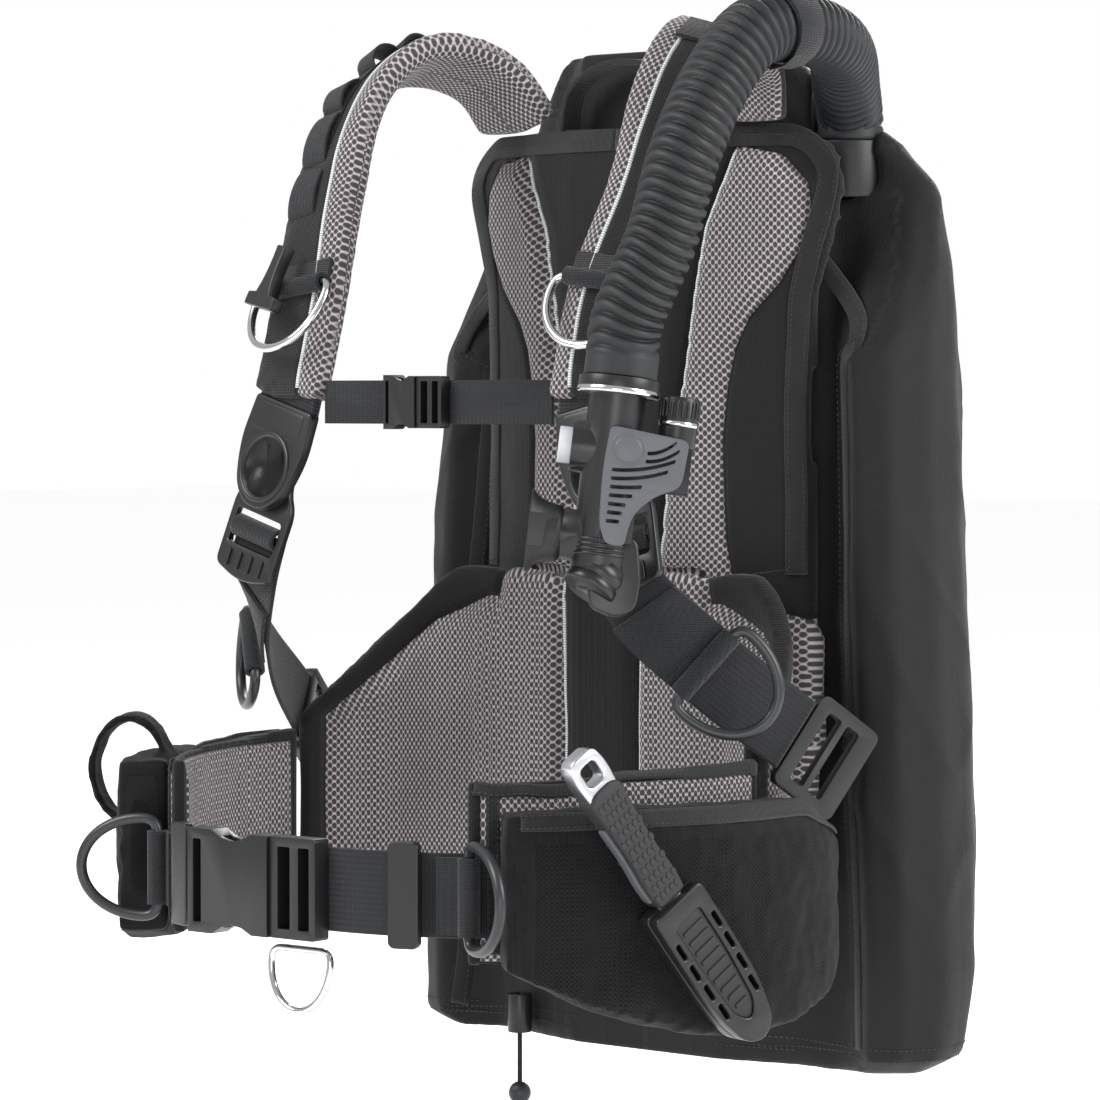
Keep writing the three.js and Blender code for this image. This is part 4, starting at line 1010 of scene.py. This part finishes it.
for side, word in SIDES:
    place = buckles[side]
    a, b = local(place, 0, -38, -7.2), local(place, 0, -64, -10.9)
    lower = Route([a, b, (side * 169, b[1] + 40, b[2] - 46), (side * 189, b[1] + 90, b[2] - 84)],
                  [place[3], place[3], (side * 0.62, -0.76, 0.05), (side * 0.86, -0.5, 0.05)])
    frames = [lower.frame(t) for t in lower.even(70)[0]]
    run = [(q, x, z) for q, x, _, z in frames]
    piece = woven(f"lower_strap_web_{word}", run, 44, WEB, body=None, replaces=[f"lower_strap_{word}"])
    low = lower.frame(0.32)[0] * MM
    tuple(a * MM)
    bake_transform(piece)
    # the loop over the window's bar turns with the swivel plate
    loop = []
    for angle in np.linspace(-1.25, 1.25, 16):
        loop.append((local(place, 0, -39 + 6.2 * math.sin(angle), -7.0 + 8.4 * math.cos(angle)), place[1],
                     local((np.zeros(3), *place[1:]), 0, math.sin(angle), math.cos(angle))))
    woven(f"swivel_web_{word}", loop, 40, WEB, body=f"shoulder_swivel_{word}")

# a doubled strap end joins each shoulder pad to its buckle, without a gap at the pad's edge
for side, word in SIDES:
    place, ends = buckles[side], []
    for t in (0.93, 0.96, 0.985):
        q, x, y, z = shoulders[side].frame(t)
        ends.append((q, x, z))
    for height in (40, 33, 24):
        ends.append((local(place, 0, height, 3.4), place[1], place[3]))
    woven(f"strap_end_{word}", ends, 50, 5.0)


def soft_copy(node, finish):
    """A finer copy of a CAD node: its facets are rounded off, and it stands for the node."""
    piece = merged(f"{node}_piece", node)
    work = bmesh.new()
    work.from_mesh(piece.data)
    bmesh.ops.join_triangles(work, faces=work.faces, angle_face_threshold=0.7, angle_shape_threshold=0.9)
    work.to_mesh(piece.data)
    work.free()
    subdivided(piece, 2)
    smoothed(piece)
    return stands_for(piece, finish, slot_of_node[node], node, body=body_of_node[node])


def box_uv(piece):
    """UVs in metres by the axis that each face looks along most."""
    mesh = piece.data
    layer = mesh.uv_layers.get("UVMap") or mesh.uv_layers.new(name="UVMap")
    for face in mesh.polygons:
        n = face.normal
        axis = max(range(3), key=lambda k: abs(n[k]))
        first, second = ((1, 2), (0, 2), (0, 1))[axis]
        for corner in face.loop_indices:
            c = mesh.vertices[mesh.loops[corner].vertex_index].co
            layer.data[corner].uv = (c[first], c[second])


paired = ("chest_ring_tab", "strap_ring_tab", "hip_ring_tab", "sternum_strap")
for node in [f"{kind}_{word}" for kind in paired for _, word in SIDES] + [
        "hose_retainer", "carry_handle", "tank_band"]:
    piece = merged(f"{node}_web", node)
    rounding = piece.modifiers.new("rounding", "BEVEL")
    rounding.width, rounding.segments, rounding.limit_method, rounding.angle_limit = 0.5 * MM, 2, "ANGLE", 0.7
    settled(piece)
    smoothed(piece)
    box_uv(piece)
    stands_for(piece, webbing, "webbing", node, body=body_of_node[node])

# ---- Accessory webbing on the right strap ----
# A narrow strap sewn down the pad at short spaces, so that it stands up in loops for clips.
def accessory_run(count, t0, t1, rise, lift):
    """A strap on the right shoulder pad, 8 mm from its middle, that rises by rise between its ends."""
    run = []
    for share in np.linspace(0, 1, count):
        bulge = rise * math.sin(math.pi * share) ** 0.6 if rise else 0.0
        q, x, _, z = shoulders[-1].frame(t0 + (t1 - t0) * share, lift + bulge)
        run.append((q - x * np.sign(x[0]) * 8, x, z))
    return run


loops = [woven("loop", accessory_run(14, *span, 9.0), 24, 1.8, body=None)
         for span in ((0.30, 0.36, 7), (0.37, 0.43, 8), (0.47, 0.53, 5), (0.535, 0.615, 4), (0.62, 0.70, 4))]
loops.append(woven("base", accessory_run(80, 0.28, 0.80, 0, 8.6), 25, 1.6, body=None))
accessory = joined("accessory_webbing", loops)
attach(accessory, "pack")

# ---- Hip panels and pockets ----
# Padded spacer-mesh panels behind the belt, a bellows pocket with a net front on the left, and a weight
# pocket with a padded pull handle on the right.
hip_finish = spacer_cloth("hip_panel_cloth", 1.4, 0.4, 0.35)
net_finish = Finish("pocket_net", Specular_IOR_Level=0.15, Roughness=0.85, Sheen_Weight=0.05)
u, v, _ = net_finish.place("UV")
holes = mesh_holes(u, v, 2.3, 2.5, 0.62, 0.75)
threads = nylon_relief(u, v, 1.3)
is_net = net_finish.attribute("net").ramp(-0.3, 0.3)
cloth = net_finish.mix(threads, NYLON_DARK, NYLON_LIGHT)
net = net_finish.mix(holes, (0.0015, 0.0015, 0.0017, 1), (0.0075, 0.0077, 0.0084, 1))
net_finish.feed(Base_Color=net_finish.mix(is_net, cloth, net))
net_finish.bump(is_net * holes + (1 - is_net) * threads * 0.4, 0.35)
pocket_skins, pocket_sizes = {}, {}
for node, finish, cap in (("hip_panel_left", hip_finish, 1.5), ("hip_panel_right", hip_finish, 1.5),
                          ("hip_pocket_left", net_finish, 5.0), ("weight_pouch_right", net_finish, 4.0)):
    piece = padding(remeshed(merged(f"{node}_cloth", node), 2.6, 6), 5, cap, 12)
    subdivided(piece)
    p, n = coordinates(piece), normals(piece)
    far, height = np.abs(round_the_waist(p)), p[:, 2]
    span = near_end, far_end, low, high = far.min(), far.max(), height.min(), height.max()
    pocket_sizes[node] = span
    edge = np.minimum(np.minimum(far - near_end, far_end - far), np.minimum(height - low, high - height))
    if finish is hip_finish:
        measure(piece, "grey", edge - 7)
        set_coordinates(piece, p - n * (1.6 * np.exp(-((edge - 7) / 1.6) ** 2))[:, None])
    else:
        wrinkle = np.array([noise.noise(Vector(q) * 0.045) + 0.6 * noise.noise(Vector(q) * 0.11) for q in p])
        set_coordinates(piece, p + n * (wrinkle * 1.3)[:, None])
        net_low = low + 14 + 0.0022 * (far - near_end - 110) ** 2
        net_edge = np.minimum(np.minimum(far - near_end - 26, far_end - 14 - far),
                              np.minimum(height - net_low, high - 18 - height))
        measure(piece, "net", net_edge if node == "hip_pocket_left" else net_edge - 400)
    lay_cloth(piece, np.stack([far, height], axis=1))
    stands_for(piece, finish, "spacer_mesh" if finish is hip_finish else "shell_fabric", node)
    pocket_skins[node] = skin_of(piece)

# ---- Rings and moulded fittings ----
# Steel rings are polished; strap and hip rings are dark satin plastic. Buckles, sliders, adjusters, the
# elbow, the whistle and the inflator's solids are finer, rounded copies of their CAD solids.
def metal(name, rough, patch, dark, light, grain, deep):
    made = Finish(name, Metallic=1.0, Roughness=rough)
    made.feed(Base_Color=made.mix(made.noise(patch), dark, light))
    made.bump(made.noise(grain, 2), deep)
    return made


polished = metal("polished_steel", 0.14, 9, (0.50, 0.51, 0.53, 1), (0.66, 0.67, 0.69, 1), 70, 0.012)
brushed = metal("blade_steel", 0.30, 14, (0.47, 0.48, 0.50, 1), (0.62, 0.63, 0.65, 1), 160, 0.05)


def plastic(name, dark, light, rough=0.42, grain=0.05):
    made = Finish(name, Roughness=rough, Specular_IOR_Level=0.45)
    made.feed(Base_Color=made.mix(made.noise(60, 3), dark, light))
    made.bump(made.noise(420, 2), grain)
    return made


ring_plastic = plastic("ring_plastic", (0.013, 0.014, 0.016, 1), (0.022, 0.024, 0.027, 1), 0.34)
guard_plastic = plastic("guard_plastic", (0.062, 0.066, 0.073, 1), (0.085, 0.090, 0.099, 1), 0.45)
pale_plastic = plastic("pale_plastic", (0.42, 0.44, 0.46, 1), (0.50, 0.52, 0.54, 1), 0.4)
moulded = plastic("moulded_plastic", (0.006, 0.0063, 0.007, 1), (0.0105, 0.011, 0.012, 1), 0.34, 0.07)
grip = plastic("grip_rubber", (0.010, 0.0103, 0.011, 1), (0.018, 0.0185, 0.02, 1), 0.62, 0.3)


def softened(node, finish, width):
    """A rounded copy of a CAD node's solid, which stands for it and moves with its body."""
    piece = merged(f"{node}_form", node)
    work = bmesh.new()
    work.from_mesh(piece.data)
    bmesh.ops.dissolve_limit(work, angle_limit=0.03, verts=work.verts, edges=work.edges)
    work.to_mesh(piece.data)
    work.free()
    rounding = piece.modifiers.new("rounding", "BEVEL")
    rounding.width, rounding.segments, rounding.limit_method = width * MM, 3, "ANGLE"
    rounding.angle_limit = 0.45
    piece.modifiers.new("normals", "WEIGHTED_NORMAL").keep_sharp = True
    settled(piece)
    smoothed(piece)
    return stands_for(piece, finish, slot_of_node[node], node, body=body_of_node[node])


ring_nodes = {"waist_ring": polished, "chest_ring_left": polished, "chest_ring_right": polished}
for _, word in SIDES:
    ring_nodes |= {f"strap_ring_{word}": ring_plastic, f"hip_ring_{word}": ring_plastic}
for node, finish in ring_nodes.items():
    soft_copy(node, finish)
smooth_rubber = plastic("smooth_rubber", (0.0065, 0.0068, 0.0075, 1), (0.012, 0.0123, 0.0135, 1), 0.48, 0.05)
for node, finish, width in (
        ("tank_grip_pad", smooth_rubber, 1.2), ("backplate", moulded, 0.8), ("whistle", moulded, 1.2),
        ("hip_adjuster_left", moulded, 1.0), ("hip_adjuster_right", moulded, 1.0),
        ("sternum_buckle_socket", moulded, 0.9), ("sternum_buckle_plug", moulded, 0.9),
        ("waist_buckle_socket", moulded, 1.5), ("waist_buckle_plug", moulded, 1.2),
        ("belt_slider_left", moulded, 0.8), ("belt_slider_right", moulded, 0.8),
        ("hose_elbow", smooth_rubber, 1.0), ("inflator_body", moulded, 0.8),
        ("deflate_button", moulded, 0.8), ("inflate_button", pale_plastic, 0.8),
        ("inflator_mouthpiece", smooth_rubber, 1.2), ("lp_collar", moulded, 0.7),
        ("dump_valve", moulded, 1.0), ("cam_buckle_plate", moulded, 1.2), ("cam_lever", moulded, 1.0)):
    softened(node, finish, width)


def rounded(corners, radius, steps=6):
    """A closed outline with every corner turned into an arc; a corner may carry its own radius."""
    points, count = [], len(corners)
    for k, corner in enumerate(corners):
        r = corner[2] if len(corner) > 2 else radius
        q = np.array(corner[:2], float)
        a, b = np.array(corners[k - 1][:2], float) - q, np.array(corners[(k + 1) % count][:2], float) - q
        reach = min(r, np.linalg.norm(a) * 0.48, np.linalg.norm(b) * 0.48)
        a, b = q + a / np.linalg.norm(a) * reach, q + b / np.linalg.norm(b) * reach
        for share in np.linspace(0, 1, steps):
            points.append(a * (1 - share) ** 2 + q * 2 * share * (1 - share) + b * share ** 2)
    return points


def mirrored(half):
    """An outline from its right half, whose corners may carry their own radius."""
    return half + [(-corner[0], *corner[1:]) for corner in reversed(half)]


def slab(x0, x1, y0, y1, radius):
    return rounded([(x0, y0), (x0, y1), (x1, y1), (x1, y0)], radius)


def disc(x, y, radius, steps=40):
    turns = np.linspace(0, 2 * math.pi, steps, endpoint=False)
    return [(x + radius * math.cos(a), y + radius * math.sin(a)) for a in turns]


def plate(name, outlines, place, low, high, finish, edge=0.8):
    """A flat moulding cut from outlines (the first is its rim, the rest are holes) with rounded edges."""
    curve = bpy.data.curves.new(name, "CURVE")
    curve.dimensions, curve.fill_mode = "2D", "BOTH"
    curve.extrude, curve.bevel_depth, curve.bevel_resolution = ((high - low) / 2 - edge) * MM, edge * MM, 2
    curve.offset = -edge * MM
    for outline in outlines:
        line = curve.splines.new("POLY")
        line.points.add(len(outline) - 1)
        for point, (a, b) in zip(line.points, outline):
            point.co = (a * MM, b * MM, 0, 1)
        line.use_cyclic_u = True
    maker = bpy.data.objects.new(name, curve)
    bpy.context.collection.objects.link(maker)
    mesh = bpy.data.meshes.new_from_object(maker.evaluated_get(bpy.context.evaluated_depsgraph_get()))
    bpy.data.objects.remove(maker)
    work = bmesh.new()
    work.from_mesh(mesh)
    bmesh.ops.remove_doubles(work, verts=work.verts, dist=1e-6)
    for vertex in work.verts:
        a, b, c = vertex.co
        vertex.co = local(place, a / MM, b / MM, c / MM + (low + high) / 2) * MM
    bmesh.ops.recalc_face_normals(work, faces=work.faces)
    work.to_mesh(mesh)
    work.free()
    piece = to_object(name, mesh, finish)
    mesh.polygons.foreach_set("use_smooth", [True] * len(mesh.polygons))
    mesh.set_sharp_from_angle(angle=0.9)
    return piece


def mounted(name, pieces, node, slot, *nodes):
    """Several mouldings as one piece that moves with a CAD node's body and stands for nodes."""
    piece = joined(name, pieces)
    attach(piece, body_of_node[node])
    if nodes:
        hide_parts(*nodes)
    return piece


# ---- Shoulder buckles ----
# The upper plate carries the pad's end and a round boss; the swivel plate turns on it, with a plain
# domed hub, a ring groove and a window for the lower strap's loop.
for side, word in SIDES:
    place = buckles[side]
    top = rounded(mirrored([(25.6, 39.6, 3), (27.6, 14, 9), (25.2, 0, 14), (20, -15.5, 12), (8, -25, 14)]), 6)
    raised = rounded([(-22, 20), (-21, 37), (21, 37), (22, 20)], 3)
    upper = [plate("upper", [top, disc(0, 0, 17.7)], place, 0.2, 7.9, moulded, 1.4),
             plate("upper_raise", [raised], place, 7, 8.4, moulded, 0.6)]
    rim = [(18.0, 7.4), (18.6, 8.6), (19.8, 8.9), (21.2, 8.6), (21.8, 7.4)]
    upper.append(lathe("upper_rim", rim, place, moulded, 56))
    mounted(f"shoulder_buckle_{word}_plate", upper, f"shoulder_buckle_{word}", "hard_plastic",
            f"shoulder_buckle_{word}")
    outline = [(8, 16.2, 12), (17, 5, 14), (17, -9, 8), (25.6, -20, 8), (25.6, -64, 5)]
    outline = rounded(outline + [(0, -70.5, 40)] + mirrored(outline)[5:], 6)
    window = slab(-20.6, 20.6, -49.5, -28.5, 3)
    lower_plate = [plate("swivel", [outline, window], place, -5.4, -0.5, moulded, 1.1)]
    hub = [(0.0, 7.2), (5.6, 7.2), (6.2, 6.5), (6.9, 6.2), (12.6, 6.4), (13.4, 7.2), (15.4, 7.2), (16.6, 6.2),
           (16.9, 4.0), (16.9, -1.0), (0.0, -1.0)]
    lower_plate.append(lathe("hub", hub, place, moulded, 64))
    for offset in (-15, -5, 5, 15):
        rib = slab(offset - 1.5, offset + 1.5, -63.5, -53, 1)
        lower_plate.append(plate("rib", [rib], place, -1.5, 0.9, moulded, 0.5))
    mounted(f"shoulder_swivel_{word}_plate", lower_plate, f"shoulder_swivel_{word}", "hard_plastic",
            f"shoulder_swivel_{word}")

# ---- Knife ----
# A steel tang with a ringed pommel and two textured grip scales; the sheath on the left pocket holds it.
blade = (np.array([202.23, -222.45, -218.0]), np.array([0.2333, 0.7669, 0.5978]),
         np.array([-0.1740, -0.5720, 0.8016]), np.array([0.9567, -0.2910, 0.0]))
# the middle of the knife's thickness, in the sheath's own frame
KNIFE_Z = 9.5
handle = rounded(mirrored([(9, 149, 5), (11.5, 137, 8), (9.0, 112, 12), (8.0, 84, 14), (9.5, 62, 8),
                           (8.5, 50, 2)]), 6)
hole = slab(-5.6, 5.6, 130.5, 142.8, 3.5)
steel = [plate("tang", [handle, hole], blade, KNIFE_Z - 5.6, KNIFE_Z + 5.6, brushed, 1.3)]
grip_line = rounded(mirrored([(6, 127.5, 4), (11.6, 124, 5), (10.2, 111, 12), (9.2, 84, 14), (10.6, 63, 8),
                              (9.6, 51)]), 3)
steel.append(plate("scale", [grip_line], blade, KNIFE_Z - 7.2, KNIFE_Z + 7.2, grip, 1.9))
for row in range(11):
    for column in range(-2, 3):
        x, y = (column + (row % 2) * 0.5 - 0.25) * 3.7, 57 + row * 6.1
        if abs(x) < 8.4:
            turns = [k * math.pi / 3 for k in range(6)]
            cell = rounded([(x + 1.9 * math.cos(a), y + 2.6 * math.sin(a)) for a in turns], 0.5, 3)
            steel.append(plate("cell", [cell], blade, KNIFE_Z - 7.7, KNIFE_Z + 7.7, grip, 0.45))
strip = rounded([(-11.5, 56), (-12.4, 66, 8), (-11.2, 84, 14), (-12.0, 106, 10), (-9.5, 106, 4),
                 (-9.0, 84, 14), (-10, 66, 8), (-9.2, 56)], 2)
steel.append(plate("strip", [strip], blade, KNIFE_Z - 3.2, KNIFE_Z + 3.2, guard_plastic, 0.8))
steel.append(plate("blade", [rounded([(-7, -40, 6), (-8, 52), (8, 52), (7, -40, 6)], 2)], blade,
                   KNIFE_Z - 1.4, KNIFE_Z + 1.4, brushed, 0.4))
mounted("knife_handle", steel, "knife", "knife_steel", "knife")

# ---- Inflator ----
# The guard in front of the power inflator: a grey plate with rows of slots and a plain disc.
z = inflator_up
x = np.array([0.766, 0.643, 0.0])
x -= z * x.dot(z)
x /= np.linalg.norm(x)
inflator = (np.array([157.0, -258.0, -10.0]), x, np.cross(z, x), z)
facing = (inflator[0], inflator[1], inflator[3], -inflator[2])
outline = rounded([(-2, 84, 4), (41, 80, 5), (39, 54, 10), (27, 49.5, 12), (14.5, 38, 12), (12, 20, 3),
                   (2, 20, 4), (-2.5, 30, 10), (-4, 60, 20)], 4)
slots = []
for start, base, end, rise in ((19, 70, 34, 7.5), (18.5, 65.6, 36, 7.5), (1, 59.4, 34.5, 8),
                               (1, 54.8, 31, 6.5), (1, 50.2, 18, 1.5), (1, 45.6, 13.5, 0.6),
                               (1, 41, 10.5, 0), (1, 36.4, 9, 0),
                               (1, 31.8, 8, 0)):
    line = [(start + (end - start) * k, base + rise * k * k) for k in np.linspace(0, 1, 9)]
    slots.append(rounded(line + [(q[0], q[1] + 1.9) for q in reversed(line)], 0.7, 3))
guard = [plate("guard", [outline] + slots, facing, 15.9, 19.8, guard_plastic, 0.45)]
boss = [(0.0, 20.6), (6.4, 20.6), (7.2, 20.2), (7.6, 19.4), (8.4, 19.3), (8.8, 20.0), (9.6, 20.0), (10, 19.0)]
guard.append(lathe("boss", boss, (local(facing, 8.5, 72, 0), *facing[1:]), guard_plastic, 48))
mounted("inflator_guard_plate", guard, "inflator_guard", "guard_grey", "inflator_guard")

# A steel clamp ring at the hose's end, the body's flares, heel and tilted cap, the grip ribs and steel ring
# of the low-pressure collar, the flared lip of the mouthpiece, and the snap of the hose's retainer.
clamp = [(21.8, 101.5), (22.35, 102.0), (22.35, 104.6), (21.8, 105.1)]
clamps = [lathe("clamp", clamp, inflator, polished, 64)]
for k in range(4):
    groove = [(15.4, 14 + k * 2.6), (16.1, 14.5 + k * 2.6), (16.1, 15.3 + k * 2.6), (15.4, 15.8 + k * 2.6)]
    clamps.append(lathe("body_rib", groove, inflator, moulded, 48))
for height, flare in ((72, [(13.1, 21.9), (13.9, 21.2), (14.4, 16), (16.2, 11), (20.6, 4), (21.4, 1)]),
                      (24, [(12.6, 23), (13.6, 22), (14.2, 14), (16.6, 9), (22, 2), (23, 0)])):
    root = (local(inflator, 0, 0, height), inflator[2] * 0.7, inflator[3], -inflator[1])
    clamps.append(lathe("flare", flare, root, moulded, 56))
heel = rounded([(-6, 3), (-3, -14, 5), (12, -18.5, 5), (22, -13, 5), (23.5, 3, 6), (19.5, 24, 8),
                (13, 27)], 3)
clamps.append(plate("heel", [heel], facing, -9, 9, moulded, 1.6))
tilted = local((np.zeros(3), *inflator[1:]), -0.42, -0.30, -0.86)
tilted /= np.linalg.norm(tilted)
turn_x = np.cross(tilted, inflator[2])
turn_x /= np.linalg.norm(turn_x)
button = [(15.6, -8), (15.9, -2), (15.4, 0.4), (14.6, 0.9), (14.6, 1.8), (15.4, 2.3), (15.4, 6.6),
          (14.4, 7.8), (0, 8.2)]
button_place = local(inflator, -1, -1.5, 1), turn_x, np.cross(tilted, turn_x), tilted
clamps.append(lathe("tilted_cap", button, button_place, moulded, 56))
mounted("inflator_trim", clamps, "inflator_body", "hard_plastic")
post = (local(inflator, 34, 0, 0), *inflator[1:])
trim = [lathe("steel_ring", [(10.3, 88.0), (10.9, 88.4), (10.9, 90.6), (10.3, 91.0)], post, polished, 40)]
for k in range(22):
    a = k * 2 * math.pi / 22
    spot = [(10.6 * math.cos(a) + 0.75 * math.cos(b), 10.6 * math.sin(a) + 0.75 * math.sin(b))
            for b in np.linspace(0, 2 * math.pi, 8, endpoint=False)]
    trim.append(plate("grip_rib", [spot], post, 93, 102, moulded, 0.3))
mounted("lp_collar_trim", trim, "lp_collar", "hard_plastic")
lip = [(9.6, -1), (13.4, 0), (14.2, 4), (15.2, 9), (17.6, 14), (20.4, 16.6), (20.8, 17.4), (19.6, 17.5),
       (15.6, 12.8), (12.5, 8), (11.0, 7)]
oval = (local(inflator, -22.5, 0, 24), inflator[2] * 0.74, inflator[3] * 1.1, -inflator[1])
mouth = lathe("mouthpiece_lip", lip, oval, smooth_rubber, 56)
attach(mouth, body_of_node["inflator_mouthpiece"])
snap_at, along = hose_route.at(0.45), hose_route.along(0.45)
outside = np.array([0.35, -0.6, 0.75]) - along * along.dot(np.array([0.35, -0.6, 0.75]))
outside /= np.linalg.norm(outside)
across = np.cross(outside, along)
snap = [(0, 26.6), (4.6, 26.4), (6.8, 25.7), (7.5, 24.6), (7.5, 22.5)]
cap_piece = lathe("retainer_snap", snap, (snap_at, along, across, outside), moulded, 36)
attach(cap_piece, "pack")

# ---- Sheath ----
# Two half shells with a row of slots down each side and a recessed, textured panel on the front.
shell = rounded([(-18, 49, 4), (-18.2, 20, 20), (-17, -18, 24), (-11, -42, 14), (0, -48.8, 12), (11, -42, 14),
                 (17, -18, 24), (18.2, 20, 20), (18, 49, 4)], 4)
recess = rounded([(-9.5, 38, 3), (-9.5, 8, 8), (-7, -26, 9), (0, -34, 8), (7, -26, 9), (9.5, 8, 8),
                  (9.5, 38, 3)], 3)
side_slots = []
for side in (-1, 1):
    for row in range(4):
        y = 30 - row * 14.5
        x = 14.2 - 0.00108 * (30 - y) ** 2
        side_slots.append(slab(side * (x - 1.3), side * (x + 1.3), y, y - 9.5, 1.2))
sheath = [plate("back_shell", [shell] + side_slots, blade, 0.3, 9.6, moulded, 0.9),
          plate("front_shell", [shell, recess] + side_slots, blade, 9.4, 18.7, moulded, 1.3),
          plate("panel", [recess], blade, 12.0, 16.9, grip, 0.3)]
for row in range(9):
    y = 32 - row * 6.6
    half = 7.6 - max(0, row - 5) * 1.0
    sheath.append(plate("panel_rib", [slab(-half, half, y, y - 2.4, 1)], blade, 16.0, 18.0, grip, 0.5))
mounted("sheath_shells", sheath, "knife_sheath", "hard_plastic", "knife_sheath")

# ---- Edges of the hip panels and the left pocket ----
# Folded tape along the top and front edges of the hip panels and along the top of the left pocket, with rows
# of stitches beside it.
def outside_hip(side):
    """A line just outside one hip, and how far round the waist each of its points is."""
    route = np.array([hips[side].frame(t, 45)[0] for t in np.linspace(0.02, 0.99, 260)])
    measured = np.abs(round_the_waist(route))
    order = np.argsort(measured)
    return measured[order], route[order]


edge_tapes, edge_stitches = [], []
for node, side in (("hip_panel_left", 1), ("hip_panel_right", -1), ("hip_pocket_left", 1)):
    near, far, low, high = pocket_sizes[node]
    measured, route = outside_hip(side)
    inset = 4.0 if node.startswith("hip_panel") else 6.0
    wide = 7.5 if node.startswith("hip_panel") else 10.0
    top = [(f, high - inset) for f in np.linspace(near + inset, far - inset, 50)]
    front = [(far - inset, h) for h in np.linspace(high - inset, low + inset + 8, 40)]
    lines = [top, front] if node.startswith("hip_panel") else [top]
    for line in lines:
        aims = [(np.interp(f, measured, route[:, 0]), np.interp(f, measured, route[:, 1]), h)
                for f, h in line]
        places = on_skin(pocket_skins[node], aims, lambda q: (q[0], q[1] + 60, 0), 0.1)
        places = evened(places, 4)
        edge_tapes.append(tape_along("edge", places, wide, 1.0, binding))
        for shift in (-wide * 0.34, wide * 0.34):
            row = []
            for j, (q, n) in enumerate(places):
                d = places[min(j + 1, len(places) - 1)][0] - places[max(j - 1, 0)][0]
                row.append(q + np.cross(d / np.linalg.norm(d), n) * shift + n * 1.15)
            edge_stitches.append(row)
pocket_edges = joined("pocket_binding", edge_tapes)
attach(pocket_edges, "pack")
stitches("pocket_stitching", edge_stitches)
